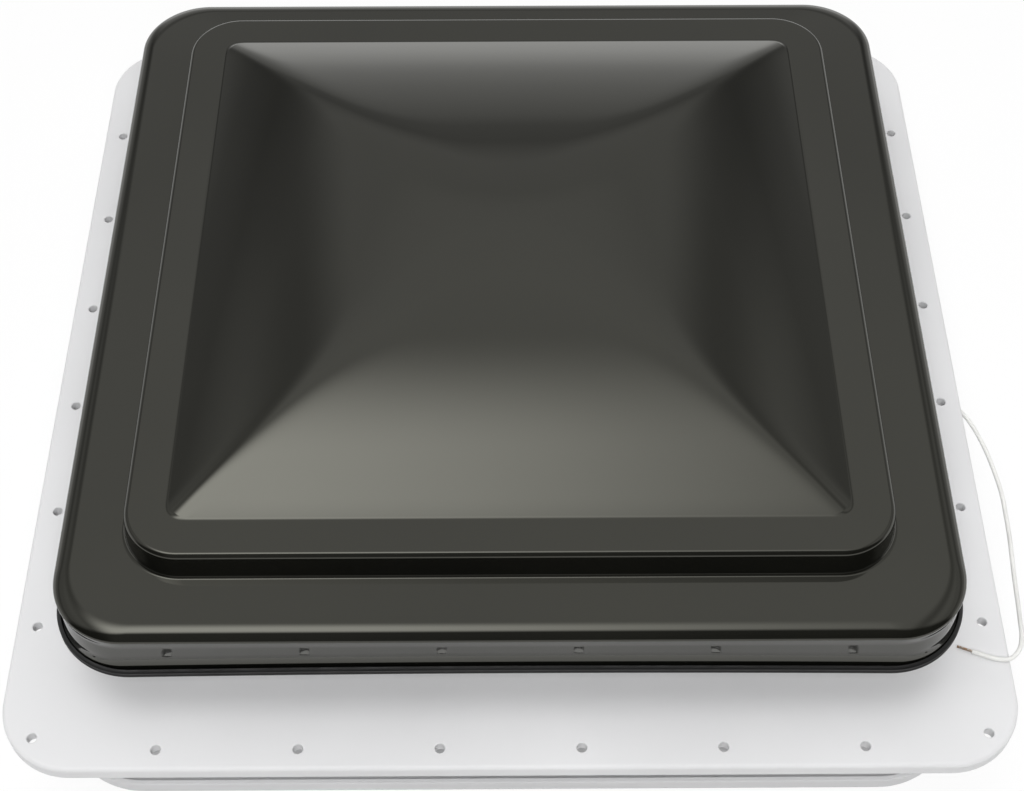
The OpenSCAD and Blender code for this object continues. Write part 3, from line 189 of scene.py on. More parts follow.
# tinned copper strands: grey-silver tin with copper showing through in places
tinnedCopper = {"dark": "#B08A6A", "light": "#C2BFB8", "driftMm": 1.2, "rough": (0.26, 0.42), "patchMm": 0.8,
                "waveMm": 2.0, "waveHigh": 0.01, "grainMm": 0.3, "grainHigh": 0.003, "metallic": 1.0}

# cut cast bronze: warm yellow-brown metal, dulled by grease
castBronze = {"dark": "#8E6C3A", "light": "#A98A52", "driftMm": 6, "rough": (0.28, 0.46), "patchMm": 3,
              "waveMm": 9, "waveHigh": 0.02, "grainMm": 0.6, "grainHigh": 0.008, "metallic": 1.0}

# coated glass yarn of the insect screen: mid grey, soft sheen, slightly fuzzy coat
coatedYarn = {"dark": "#595C5E", "light": "#6C6F71", "driftMm": 14, "rough": (0.48, 0.60), "patchMm": 5,
              "waveMm": 8, "waveHigh": 0.02, "grainMm": 0.5, "grainHigh": 0.01, "ior": 1.5}

looks = {
    "smoke_plastic": ("glossSmokeAbs", glossSmokeAbs),
    "white_plastic": ("satinWhiteAbs", satinWhiteAbs),
    "black_rubber": ("extrudedEpdm", extrudedEpdm),
    "plated_steel": ("zincSteel", zincSteel),
    "grey_plastic": ("glassNylon", glassNylon),
    "black_plastic": ("mouldedBlackAbs", mouldedBlackAbs),
    "white_nylon": ("whiteAcetal", whiteAcetal),
    "lead_white": ("whitePvc", whitePvc),
    "lead_black": ("blackPvc", blackPvc),
    "tinned_copper": ("tinnedCopper", tinnedCopper),
    "bronze": ("castBronze", castBronze),
    "mesh_wire": ("coatedYarn", coatedYarn),
}
finish = {}
for slot, (name, look) in looks.items():
    material, tree, shader, place = newMaterial(name)
    dressSurface(tree, shader, place, look)
    finish[slot] = material
print("materials made:", len(finish))


# helpers for meshes
def addPiece(name, bm, body, slot, replaced=(), sharp=40.0, weigh=True):
    bmesh.ops.recalc_face_normals(bm, faces=bm.faces[:])
    mesh = bpy.data.meshes.new(name)
    bm.to_mesh(mesh)
    bm.free()
    for face in mesh.polygons:
        face.use_smooth = True
    mesh.set_sharp_from_angle(angle=radians(sharp))
    piece = bpy.data.objects.new(name, mesh)
    bpy.context.scene.collection.objects.link(piece)
    mesh.materials.append(finish[slot])
    if weigh:
        piece.modifiers.new("evenShading", "WEIGHTED_NORMAL").keep_sharp = True
    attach(piece, body)
    if replaced:
        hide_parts(*replaced)
    return piece


# a smooth line through the points, in so many steps from each to the next
def smoothRoute(points, steps):
    padded = [points[0] * 2 - points[1]] + points + [points[-1] * 2 - points[-2]]
    curve = []
    for i in range(1, len(points)):
        a, b, c, d = padded[i - 1:i + 3]
        for s in range(steps):
            t = s / steps
            curve.append((b * 2 + (c - a) * t + (a * 2 - b * 5 + c * 4 - d) * t ** 2
                          + (b * 3 - a - c * 3 + d) * t ** 3) * 0.5)
    return curve + [points[-1]]


def circle(radius, sides):
    return [(radius * cos(2 * pi * k / sides), radius * sin(2 * pi * k / sides)) for k in range(sides)]


# a round bar along a path, capped at both ends
def addTube(bm, path, radius, sides):
    rings = []
    side = None
    for i, centre in enumerate(path):
        ahead = (path[min(i + 1, len(path) - 1)] - path[max(i - 1, 0)]).normalized()
        if side is None:
            side = ahead.orthogonal().normalized()
        side = (side - ahead * side.dot(ahead)).normalized()
        up = ahead.cross(side)
        rings.append([bm.verts.new(centre + side * x + up * y) for x, y in circle(radius, sides)])
    joinRings(bm, rings)
    bm.faces.new(rings[0])
    bm.faces.new(rings[-1])


def joinRings(bm, rings, loop=False):
    count = len(rings[0])
    for j in range(len(rings) if loop else len(rings) - 1):
        low, high = rings[j], rings[(j + 1) % len(rings)]
        for i in range(count):
            k = (i + 1) % count
            bm.faces.new((low[i], low[k], high[k], high[i]))


ringSteps = {"corner": 24, "side": 40}  # points to a quarter turn and to a straight side


# a square with rounded corners, seen from above
def ringPoints(half, radius):
    inner = half - radius
    points = []
    for q in range(4):
        corner = Vector((inner if q in (0, 3) else -inner, inner if q < 2 else -inner))
        along = Vector((-cos(q * pi / 2), -sin(q * pi / 2)))
        for k in range(ringSteps["corner"] + 1):
            a = pi / 2 * (q + k / ringSteps["corner"])
            points.append(corner + Vector((cos(a), sin(a))) * radius)
        for k in range(1, ringSteps["side"]):
            points.append(points[-k] + along * (2 * inner * k / ringSteps["side"]))
    return points


# one at the middle of a side, nothing where its corners begin
def bowAt(point, straight):
    t = min(1.0, min(abs(point.x), abs(point.y)) / straight)
    return 1.0 - t * t


# a profile's corners are (half width, height, plan radius, share of the bow, length of the fillet)
def filletProfile(corners, closed, steps=5):
    mostOfRun = 0.48  # two fillets may share one run
    count = len(corners)
    line = []
    for i, corner in enumerate(corners):
        point = Vector(corner[:4])
        if not corner[4] or not closed and i in (0, count - 1):
            line.append(point)
            continue
        before, after = Vector(corners[i - 1][:4]), Vector(corners[(i + 1) % count][:4])
        back, ahead = (before - point).to_2d(), (after - point).to_2d()
        start = point.lerp(before, min(mostOfRun, corner[4] / back.length))
        end = point.lerp(after, min(mostOfRun, corner[4] / ahead.length))
        weight = sin(back.angle(ahead) / 2)
        for s in range(steps + 1):
            t = s / steps
            parts = ((1 - t) ** 2, 2 * weight * t * (1 - t), t * t)
            line.append((start * parts[0] + point * parts[1] + end * parts[2]) / sum(parts))
    return line


def profileRings(bm, line, bow=0.0):
    rings = []
    for half, high, radius, share in line:
        ring = ringPoints(half, radius)
        rings.append([bm.verts.new(Vector((p.x, p.y, high + share * bow * bowAt(p, half - radius))) * mm)
                      for p in ring])
    return rings


def addRod(bm, low, high, radius, sides=32):
    addTube(bm, [Vector(low) * mm, Vector(high) * mm], radius * mm, sides)


# an outline's corners are (height, radius); with loop its last ring is joined to its first, else both are capped
def addLathe(bm, centre, outline, sides, turn=Matrix.Identity(3), loop=False):
    rings = [[bm.verts.new((Vector(centre) + turn @ Vector((x, y, high))) * mm) for x, y in circle(radius, sides)]
             for high, radius in outline]
    joinRings(bm, rings, loop)
    if not loop:
        bm.faces.new(rings[0])
        bm.faces.new(rings[-1])


# joins bosses to a piece and cuts its holes, for good and ahead of its shading
def carve(piece, cutter=None, joiner=None):
    for operation, bm in (("UNION", joiner), ("DIFFERENCE", cutter)):
        if bm is None:
            continue
        bmesh.ops.recalc_face_normals(bm, faces=bm.faces[:])
        mesh = bpy.data.meshes.new("tool")
        bm.to_mesh(mesh)
        bm.free()
        tool = bpy.data.objects.new("tool", mesh)
        bpy.context.scene.collection.objects.link(tool)
        step = piece.modifiers.new("carve", "BOOLEAN")
        step.operation, step.solver, step.object = operation, "EXACT", tool
        piece.modifiers.move(len(piece.modifiers) - 1, 0)
        shading = [m for m in piece.modifiers if m != step]
        for m in shading:
            m.show_viewport = False
        view = bpy.context.evaluated_depsgraph_get()
        carved = bpy.data.meshes.new_from_object(piece.evaluated_get(view))
        for m in shading:
            m.show_viewport = True
        piece.modifiers.remove(step)
        old = piece.data
        piece.data = carved
        carved.name = old.name
        bpy.data.meshes.remove(old)
        bpy.data.objects.remove(tool)
        bpy.data.meshes.remove(mesh)


# supply lead: a thin white wire from the grommet, sagging under the flange and over its edge
supplyLead = {
    "diameter": 0.0022,
    "length": 0.2395,  # shown from end to end
    "exit": (0.178, -0.014, -0.003),
    "route": [
        (0.178, -0.014, -0.003), (0.19, -0.014, -0.003), (0.204, -0.0145, -0.0042), (0.217, -0.0165, -0.0062),
        (0.228, -0.02, -0.0078), (0.236, -0.027, -0.0088), (0.241, -0.037, -0.0093), (0.2445, -0.049, -0.0096),
        (0.247, -0.062, -0.01), (0.2485, -0.076, -0.01), (0.2483, -0.09, -0.0096), (0.2475, -0.104, -0.0086),
        (0.246, -0.118, -0.007), (0.2444, -0.131, -0.0046), (0.243, -0.143, -0.002), (0.2413, -0.154, 0.0012),
        (0.2396, -0.164, 0.0044), (0.2363, -0.1728, 0.0075), (0.231, -0.1785, 0.0092), (0.2255, -0.179, 0.0092),
        (0.2195, -0.1772, 0.0092), (0.2135, -0.1748, 0.0092)],
    "steps": 6, "roundness": 5,
    "tip": 7.0, "strands": 7, "strandRadius": 0.2, "strandSides": 8, "layTurns": 0.8,
    "tipSteps": 12, "tipBack": 2,  # the strands start two steps inside the insulation
    "fray": 0.25, "frayFrom": 0.6,
}


def makeSupplyLead():
    route = smoothRoute([Vector(p) for p in supplyLead["route"]], supplyLead["steps"])
    print("lead length", round(sum((b - a).length for a, b in zip(route, route[1:])), 5))
    curve = bpy.data.curves.new("supplyLead", "CURVE")
    curve.dimensions = "3D"
    curve.bevel_depth = supplyLead["diameter"] / 2
    curve.bevel_resolution = supplyLead["roundness"]
    curve.use_fill_caps = True
    spline = curve.splines.new("POLY")
    spline.points.add(len(route) - 1)
    for point, place in zip(spline.points, route):
        point.co = (*place, 1.0)
    spline.use_smooth = True
    curve.materials.append(finish["lead_white"])
    lead = bpy.data.objects.new("supplyLead", curve)
    bpy.context.scene.collection.objects.link(lead)
    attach(lead, "base")
    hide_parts("supply_lead")

    start, ahead = route[-1], (route[-1] - route[-2]).normalized()
    side = ahead.orthogonal().normalized()
    up = ahead.cross(side)
    bm = bmesh.new()
    for k in range(supplyLead["strands"]):
        wide = 0.0 if k == 0 else supplyLead["strandRadius"] * 2
        path = []
        for s in range(-supplyLead["tipBack"], supplyLead["tipSteps"] + 1):
            t = s / supplyLead["tipSteps"]
            a = 2 * pi * (k / (supplyLead["strands"] - 1) + supplyLead["layTurns"] * t)
            spread = wide * (1 + supplyLead["fray"] * max(0.0, t - supplyLead["frayFrom"]))
            path.append(start + ahead * (t * supplyLead["tip"] * mm) + (side * cos(a) + up * sin(a)) * spread * mm)
        addTube(bm, path, supplyLead["strandRadius"] * mm, supplyLead["strandSides"])
    tip = addPiece("strippedTip", bm, "base", "tinned_copper", ["lead_tip"], weigh=False)


makeSupplyLead()
print("supply lead made")


# wires inside the duct, tied from the grommet to the switch and from the switch to the motor
ductWires = {
    "diameter": 2.2, "steps": 5, "sides": 14,
    "inner": [(171, -14, -3), (167.02, -14, -3), (161.99, -12, -3), (156.95, -8, -3), (151.92, -6, -4),
              (147.94, -5, -5), (144.5, -5, -5)],
    "motor": [(131.5, 4, -6), (127.5, 4, -6), (122.5, 4, -4.5), (117.5, 4, 0.8), (111.5, 4, 2.8), (98.6, 4, 2.8),
              (85.7, 4, 2.8), (72.75, 4, 2.8), (59.8, 4, 2.8), (46.9, 4, 2.8), (34, 4, 2.8), (28, 4, 2.8)],
}


def makeDuctWires():
    for name, key, slot, node in (("innerWire", "inner", "lead_white", "inner_lead"),
                                  ("motorWire", "motor", "lead_black", "motor_lead")):
        bm = bmesh.new()
        route = smoothRoute([Vector(p) * mm for p in ductWires[key]], ductWires["steps"])
        addTube(bm, route, ductWires["diameter"] / 2 * mm, ductWires["sides"])
        addPiece(name, bm, "base", slot, [node], weigh=False)


makeDuctWires()
print("duct wires made")


# stage: a white floor, a soft room that is dim in front, and one wide lamp in front and above
stage = {
    "floor": "#D8D8D8", "floorReach": 40.0, "floorGap": 0.0002,
    "floorGlow": 0.82, "floorLight": 1.06,  # share and strength of the white that the camera and mirrors see
    # elevation and brightness of the room behind the vent and overhead
    "sky": [(0, 1.62), (5, 1.53), (8, 1.3), (10, 1.08), (12, 0.95), (16, 0.81), (20, 0.72), (24, 0.61), (27, 0.43),
            (31, 0.4), (34, 0.58), (36, 0.68), (43, 0.7), (46, 0.8), (50, 0.87), (60, 0.95), (90, 0.96)],
    # a direction's leaning to the right (X) or to the rear (Y), from where to where, and what it changes between
    "fades": {"front": ("Y", -0.34, -0.1, 0.04, 1.0), "left": ("X", -0.46, -0.34, 0.5, 1.0),
              "farLeft": ("X", -0.6, -0.47, 1.6, 1.0), "right": ("X", 0.34, 0.46, 1.0, 0.5),
              "farRight": ("X", 0.47, 0.6, 1.0, 1.8), "panelRear": ("Y", 0.0, 0.34, 1.0, 0.0),
              "panelLeft": ("X", -0.55, -0.3, 0.0, 1.0), "panelRight": ("X", -0.2, 0.33, 1.0, 0.0)},
    "panel": 3.35,  # what a soft panel overhead, a little to the left, adds to the room
    # place, width, watts
    "lamps": {"frontFill": ((0.0, -1.14, 1.36), 0.7, 18.5)},
}


def makeStage():
    world = bpy.data.worlds.new("softRoom")
    bpy.context.scene.world = world
    world.use_nodes = True
    tree = world.node_tree
    tree.nodes.clear()
    aim = addNode(tree, "ShaderNodeTexCoord").outputs["Generated"]
    lean = addNode(tree, "ShaderNodeSeparateXYZ", links={"Vector": aim})
    top = max(level for angle, level in stage["sky"])
    shades = [(sin(radians(angle)), [level / top] * 3 + [1.0]) for angle, level in stage["sky"]]
    sky = addNode(tree, "ShaderNodeValToRGB", {"stops": shades}, {"Fac": lean.outputs["Z"]})
    fade = {}
    for name, (axis, low, high, start, end) in stage["fades"].items():
        fade[name] = addNode(tree, "ShaderNodeMapRange", {
            "interpolation_type": "SMOOTHSTEP", "From Min": low, "From Max": high, "To Min": start, "To Max": end},
            {"Value": lean.outputs[axis]}).outputs["Result"]
    room = sky.outputs["Color"]
    for name in ("left", "farLeft", "right", "farRight"):
        room = addNode(tree, "ShaderNodeMath", {"operation": "MULTIPLY"}, {0: room, 1: fade[name]}).outputs[0]
    panel = fade["panelRear"]
    for name in ("panelLeft", "panelRight"):
        panel = addNode(tree, "ShaderNodeMath", {"operation": "MULTIPLY"}, {0: panel, 1: fade[name]}).outputs[0]
    added = addNode(tree, "ShaderNodeMath", {"operation": "MULTIPLY_ADD"}, {0: panel, 2: room})
    added.inputs[1].default_value = stage["panel"] / top
    level = addNode(tree, "ShaderNodeMath", {"operation": "MULTIPLY"}, {0: added.outputs[0], 1: fade["front"]})
    full = addNode(tree, "ShaderNodeMath", {"operation": "MULTIPLY"}, {0: level.outputs[0]})
    full.inputs[1].default_value = top
    glow = addNode(tree, "ShaderNodeBackground", {"Color": (1.0, 1.0, 1.0, 1.0)}, {"Strength": full.outputs[0]})
    addNode(tree, "ShaderNodeOutputWorld", links={"Surface": glow.outputs["Background"]})

    for name, (place, width, watts) in stage["lamps"].items():
        data = bpy.data.lights.new(name, "AREA")
        data.energy = watts
        data.size = width
        lamp = bpy.data.objects.new(name, data)
        lamp.location = place
        lamp.rotation_euler = (-Vector(place)).to_track_quat("-Z", "Y").to_euler()
        lamp.visible_glossy = False  # the room itself is what the lid mirrors
        bpy.context.scene.collection.objects.link(lamp)

    bm = bmesh.new()
    bmesh.ops.create_grid(bm, x_segments=4, y_segments=4, size=stage["floorReach"])
    bmesh.ops.translate(bm, verts=bm.verts[:], vec=(0.0, 0.0, cadBox[0][2] - stage["floorGap"]))
    mesh = bpy.data.meshes.new("floor")
    bm.to_mesh(mesh)
    bm.free()
    floor = bpy.data.objects.new("floor", mesh)
    bpy.context.scene.collection.objects.link(floor)
    paper = bpy.data.materials.new("paperSweep")
    paper.use_nodes = True
    tree = paper.node_tree
    tree.nodes.clear()
    seen = addNode(tree, "ShaderNodeLightPath").outputs
    ray = seen["Is Camera Ray"]
    for way in ("Is Glossy Ray", "Is Transmission Ray"):
        ray = addNode(tree, "ShaderNodeMath", {"operation": "MAXIMUM"}, {0: ray, 1: seen[way]}).outputs[0]
    share = addNode(tree, "ShaderNodeMath", {"operation": "MULTIPLY"}, {0: ray})
    share.inputs[1].default_value = stage["floorGlow"]
    matt = addNode(tree, "ShaderNodeBsdfDiffuse", {"Color": toLinear(stage["floor"])})
    white = addNode(tree, "ShaderNodeEmission", {"Strength": stage["floorLight"]})
    blend = addNode(tree, "ShaderNodeMixShader", links={0: share.outputs[0], 1: matt.outputs[0], 2: white.outputs[0]})
    addNode(tree, "ShaderNodeOutputMaterial", links={"Surface": blend.outputs["Shader"]})
    mesh.materials.append(paper)


makeStage()
print("stage lit")


# lid: one thin gloss moulding, lip, skirt, ledge, step and a domed top with four soft hips
lid = {
    "thick": 3.0, "bow": 2.0, "stepHigh": 87.5, "filletSteps": 9,
    "domeHalf": 150.0, "domeRise": 28.0, "shares": 40,
    "domeRim": 0.994, "ringCrowd": 0.9, "ringRound": (0.06, 0.5),  # where the dome's rings lie and how round they are
    "squareness": 8, "hips": (2.2, 56.0, 2.6),  # round at the top, square and crisp at the hips' feet
    # half width, height, plan radius, share of the bow, fillet
    "outside": [
        (150.0, 87.5, 9.0, 0, 0), (151.2, 87.5, 10.0, 0, 0), (168.4, 87.5, 25.4, 0, 2.3), (170.2, 73.0, 27.2, 0, 1.3),
        (200.1, 71.3, 33.6, 0, 8.4), (199.05, 63.0, 33.0, 0, 2.0), (198.95, 60.0, 32.0, 0.3, 0),
        (198.85, 57.0, 31.0, 0.6, 0), (198.75, 54.0, 30.1, 0.9, 1.0), (198.8, 51.2, 30.1, 1, 1.2),
        (199.15, 48.9, 30.5, 1, 1.0), (199.65, 47.0, 31.0, 1, 0.4), (199.65, 44.3, 31.0, 1, 0.3),
        (201.1, 44.0, 34.6, 1, 0.4), (201.1, 43.0, 34.6, 1, 0.5), (196.4, 43.0, 29.9, 1, 0.5),
        (195.5, 70.0, 29.0, 0, 2.6), (166.8, 70.2, 23.8, 0, 1.2), (165.0, 84.5, 22.0, 0, 2.0),
        (150.0, 84.5, 9.0, 0, 0)],
    "rearGap": 150.0, "rearCut": 199.35, "rearBox": (20.0, 12.0, 44.0),  # the cut's depth, height and middle
    "bossAt": (-71.2, 157.5), "bossRadius": 4.0, "bossHigh": 6.0, "bossBore": 1.5, "bossSink": 0.5, "overRun": 1.0,
    "rivetAt": (120.0, 6.5, 60.0), "rivetRadius": 1.52, "rivetSpan": (190.5, 204.0),
}


def domeRise(x, y):
    u, v = abs(x) / lid["domeHalf"], abs(y) / lid["domeHalf"]
    s = (u ** lid["squareness"] + v ** lid["squareness"]) ** (1 / lid["squareness"])
    if s < 1e-6:
        return lid["domeRise"]
    soft, crisp, power = lid["hips"]
    k = soft + crisp * min(1.0, s) ** power
    m = (u ** k + v ** k) ** (1 / k)
    return lid["domeRise"] * max(0.0, 1 - m * m)


def domeRings(bm, drop):
    rings = []
    for j in range(1, lid["shares"] + 1):
        m = lid["domeRim"] * sin(pi / 2 * j / lid["shares"]) ** lid["ringCrowd"]
        half = m * lid["domeHalf"]
        ring = ringPoints(half, half * (lid["ringRound"][0] + lid["ringRound"][1] * (1 - m)))
        rings.append([bm.verts.new(Vector((p.x, p.y, lid["stepHigh"] - drop + domeRise(p.x, p.y))) * mm)
                      for p in ring])
    top = bm.verts.new(Vector((0, 0, lid["stepHigh"] - drop + lid["domeRise"])) * mm)
    for i in range(len(rings[0])):
        bm.faces.new((top, rings[0][i], rings[0][(i + 1) % len(rings[0])]))
    return rings


def makeLid():
    bm = bmesh.new()
    rings = domeRings(bm, 0.0) + profileRings(
        bm, filletProfile(lid["outside"], False, lid["filletSteps"]), lid["bow"])
    rings += list(reversed(domeRings(bm, lid["thick"])))
    joinRings(bm, rings)
    shell = addPiece("lidShell", bm, "lid", "smoke_plastic", ["lid_shell", "lid_riser", "lid_skirt"], sharp=34.0)

    bosses, cuts = bmesh.new(), bmesh.new()
    under = lid["stepHigh"] - lid["thick"]
    for s in (-1, 1):
        x, y = lid["bossAt"][0], s * lid["bossAt"][1]
        foot, sink = under - lid["bossHigh"], lid["bossSink"]
        addRod(bosses, (x, y, foot), (x, y, under + sink), lid["bossRadius"])
        addRod(cuts, (x, y, foot - lid["overRun"]), (x, y, under - sink), lid["bossBore"])
    for sx in (-1, 1):
        for s in (-1, 1):
            x, z = sx * lid["rivetAt"][0] + s * lid["rivetAt"][1], lid["rivetAt"][2]
            inside, outside = lid["rivetSpan"]
            addRod(cuts, (x, inside, z), (x, outside, z), lid["rivetRadius"])
    deep, tall, middle = lid["rearBox"]  # the lip and its edging leave room for the hinges
    place = Matrix.Translation(Vector((0, lid["rearCut"] + deep / 2, middle)) * mm)
    size = Matrix.Diagonal(Vector((2 * lid["rearGap"], deep, tall)) * mm).to_4x4()
    bmesh.ops.create_cube(cuts, size=1.0, matrix=place @ size)
    carve(shell, cuts, bosses)


makeLid()
print("lid made")


# rubber edging pushed on the lid's lip, ribbed, open along the rear
lidEdging = {
    "half": 201.1, "radius": 34.6, "high": 43.0, "bow": 2.0, "openTo": 151.0, "filletSteps": 4,
    # outward from the lip's edge and up from its underside
    "profile": [(-3.6, -1.35, 0.3), (-3.6, -0.1, 0.3), (0.1, -0.1, 0.3), (0.1, 2.1, 0.2), (-0.5, 3.0, 0.2),
                (-0.2, 3.3, 0.2), (0.8, 3.0, 0.6), (1.75, 2.3, 0.6), (1.1, 1.5, 0.5), (1.1, 0.8, 0.5),
                (1.8, -0.1, 0.6), (0.9, -1.35, 0.8)],
}


def makeLidEdging():
    bm = bmesh.new()
    line = filletProfile([(x, z, 0, 0, f) for x, z, f in lidEdging["profile"]], True, lidEdging["filletSteps"])
    inner = lidEdging["half"] - lidEdging["radius"]
    ring = ringPoints(inner + 1.0, 1.0)  # one millimetre off the corner centres gives each outward direction
    rear = ringSteps["corner"] + ringSteps["side"] // 2  # the middle of the rear side
    ring = ring[rear:] + ring[:rear]
    stations = []
    for p in ring:
        if abs(p.x) < lidEdging["openTo"] and p.y > inner:
            continue
        out = Vector((p.x - max(-inner, min(inner, p.x)), p.y - max(-inner, min(inner, p.y)))).normalized()
        stations.append((p - out, out))
    first, last = [(Vector((s * lidEdging["openTo"], inner)), Vector((0, 1))) for s in (-1, 1)]
    stations = [first] + stations + [last]
    rings = []
    for base, out in stations:
        t = bowAt(base, inner) * lidEdging["bow"]
        rings.append([bm.verts.new(Vector((*(base + out * (lidEdging["radius"] + p.x)), lidEdging["high"] + p.y + t))
                                   * mm) for p in line])
    joinRings(bm, rings)
    bm.faces.new(rings[0])
    bm.faces.new(rings[-1])
    addPiece("lidEdging", bm, "lid", "black_rubber", ["lid_edge_trim"], sharp=50.0, weigh=False)


makeLidEdging()
print("lid edging made")


# roof flange with its rim, curb and throat
roofFlange = {
    "profile": [
        (173.0, -30.0, 17.0, 0, 0.7), (173.0, 58.0, 17.0, 0, 0.8), (176.0, 58.0, 20.0, 0, 0.8),
        (176.0, 8.0, 20.0, 0, 1.6), (231.0, 8.0, 34.0, 0, 1.9), (231.0, 0.0, 34.0, 0, 0.6), (228.0, 0.0, 31.0, 0, 0.6),
        (228.0, 4.5, 31.0, 0, 1.0), (176.0, 4.5, 20.0, 0, 1.0), (176.0, -30.0, 20.0, 0, 0.7)],
    "row": 221.0, "corner": 215.0, "rowHoles": 6, "pitch": 63.5, "holeRadius": 2.25, "holeSides": 36,
    "plateTop": 8.0, "lead": 0.35, "relief": 1.1, "reliefHigh": 4.7,  # the bore is wider below the plate
    "overRun": (1.0, 0.6),  # of the hole's cutter, below and above
    "bossRadius": 5.5, "bossHigh": 5.5, "bossSides": 36,
    "bracketAt": ((112.0, 128.0), 187.5), "bracketBore": 1.62, "bracketBoss": 4.5, "bracketSpan": (-1.0, 9.0),
    # along the wall, height, radius
    "neckBore": (110.0, -15.5, 1.72), "strapBore": (10.0, 18.0, 1.72), "grommetBore": (-14.0, -3.0, 3.52),
    "boreSides": 20, "wallSpan": (171.5, 178.0),
}


def screwPlaces():
    places = []
    count = roofFlange["rowHoles"]
    row = [(k - (count - 1) / 2) * roofFlange["pitch"] for k in range(count)]
    for q in range(4):
        turn = Matrix.Rotation(q * pi / 2, 2)
        places += [turn @ Vector((x, roofFlange["row"])) for x in row]
        places.append(turn @ Vector((roofFlange["corner"], roofFlange["corner"])))
    return places


def makeRoofFlange():
    bm = bmesh.new()
    joinRings(bm, profileRings(bm, filletProfile(roofFlange["profile"], True)), loop=True)
    flange = addPiece("roofFlange", bm, "base", "white_plastic", ["roof_flange"], sharp=40.0)
    bosses, cuts = bmesh.new(), bmesh.new()
    r, top, lead = roofFlange["holeRadius"], roofFlange["plateTop"], roofFlange["lead"]
    wide, under = r + roofFlange["relief"], roofFlange["reliefHigh"]
    below, above = roofFlange["overRun"]
    hole = [(-below, wide), (under, wide), (under, r), (top - lead, r), (top, r + lead), (top + above, r + lead)]
    for p in screwPlaces():
        addRod(bosses, (p.x, p.y, 0.0), (p.x, p.y, roofFlange["bossHigh"]), roofFlange["bossRadius"],
               roofFlange["bossSides"])
        addLathe(cuts, (p.x, p.y, 0), hole, roofFlange["holeSides"])
    along, y = roofFlange["bracketAt"]
    low, high = roofFlange["bracketSpan"]
    for x in along:
        for sx in (-1, 1):
            addRod(bosses, (sx * x, y, 0.0), (sx * x, y, roofFlange["bossHigh"]), roofFlange["bracketBoss"],
                   roofFlange["bossSides"])
            addRod(cuts, (sx * x, y, low), (sx * x, y, high), roofFlange["bracketBore"])
    inside, outside = roofFlange["wallSpan"]
    for q in range(4):
        turn = Matrix.Rotation(q * pi / 2, 3, "Z")
        bores = [roofFlange["neckBore"]] + ([roofFlange["strapBore"]] if q % 2 == 0 else [])  # strap: left and right
        for s in (-1, 1):
            for side, high, bore in bores:
                addRod(cuts, turn @ Vector((inside, s * side, high)), turn @ Vector((outside, s * side, high)),
                       bore, roofFlange["boreSides"])
    y, z, bore = roofFlange["grommetBore"]
    addRod(cuts, (inside, y, z), (outside, y, z), bore)
    carve(flange, cuts, bosses)


makeRoofFlange()
print("roof flange made")


# bulb gasket pushed on the curb's top edge
curbGasket = {"legs": (171.4, 172.9, 176.1, 177.6), "low": 51.0, "floorOfChannel": 58.05, "shoulder": 60.0,
              "bulbAt": (174.5, 64.35), "bulbRadius": 5.35, "bulbSteps": 28, "planOffset": 156.0, "filletSteps": 3,
              "legRound": 0.4, "channelRound": 0.2}


def makeCurbGasket():
    g = curbGasket
    a, b, c, d = g["legs"]
    foot, channel = (g["low"], g["legRound"]), (g["floorOfChannel"], g["channelRound"])
    line = [(b, *foot), (a, *foot)]
    start = atan2(g["shoulder"] - g["bulbAt"][1], a - g["bulbAt"][0])
    sweep = 3 * pi + 2 * start  # from the inner shoulder over the top to the outer one
    for s in range(g["bulbSteps"] + 1):
        t = start - sweep * s / g["bulbSteps"]
        line.append((g["bulbAt"][0] + g["bulbRadius"] * cos(t), g["bulbAt"][1] + g["bulbRadius"] * sin(t), 0))
    line += [(d, *foot), (c, *foot), (c, *channel), (b, *channel)]
    corners = [(x, z, x - g["planOffset"], 0, f) for x, z, f in line]
    bm = bmesh.new()
    joinRings(bm, profileRings(bm, filletProfile(corners, True, g["filletSteps"])), loop=True)
    addPiece("curbGasket", bm, "base", "black_rubber", ["curb_gasket"], sharp=45.0, weigh=False)


makeCurbGasket()
print("curb gasket made")


# trim ring that closes the opening from the cabin, with its neck and the screen's shelf
trimRing = {
    "profile": [
        (170.0, -52.0, 14.0, 0, 1.0), (216.0, -52.0, 42.0, 0, 3.0), (216.0, -42.0, 42.0, 0, 0.6),
        (213.5, -42.0, 39.5, 0, 0.6), (213.5, -49.5, 39.5, 0, 1.0), (172.5, -49.5, 16.5, 0, 1.0),
        (172.5, -10.0, 16.5, 0, 0.6), (170.0, -10.0, 14.0, 0, 0.6), (170.0, -26.0, 14.0, 0, 0.3),
        (163.0, -26.0, 14.0, 0, 0.3), (163.0, -28.0, 14.0, 0, 0.3), (170.0, -28.0, 14.0, 0, 0.3)],
    "neckAt": (110.0, -15.5), "bore": 1.9, "boreSides": 24, "wallSpan": (168.0, 174.0),
}


def makeTrimRing():
    bm = bmesh.new()
    joinRings(bm, profileRings(bm, filletProfile(trimRing["profile"], True)), loop=True)
    ring = addPiece("trimRing", bm, "base", "white_plastic", ["trim_ring", "trim_neck", "screen_ledge"], sharp=40.0)
    cuts = bmesh.new()
    side, high = trimRing["neckAt"]
    inside, outside = trimRing["wallSpan"]
    for q in range(4):
        turn = Matrix.Rotation(q * pi / 2, 3, "Z")
        for s in (-1, 1):
            addRod(cuts, turn @ Vector((inside, s * side, high)), turn @ Vector((outside, s * side, high)),
                   trimRing["bore"], trimRing["boreSides"])
    carve(ring, cuts)


makeTrimRing()
print("trim ring made")


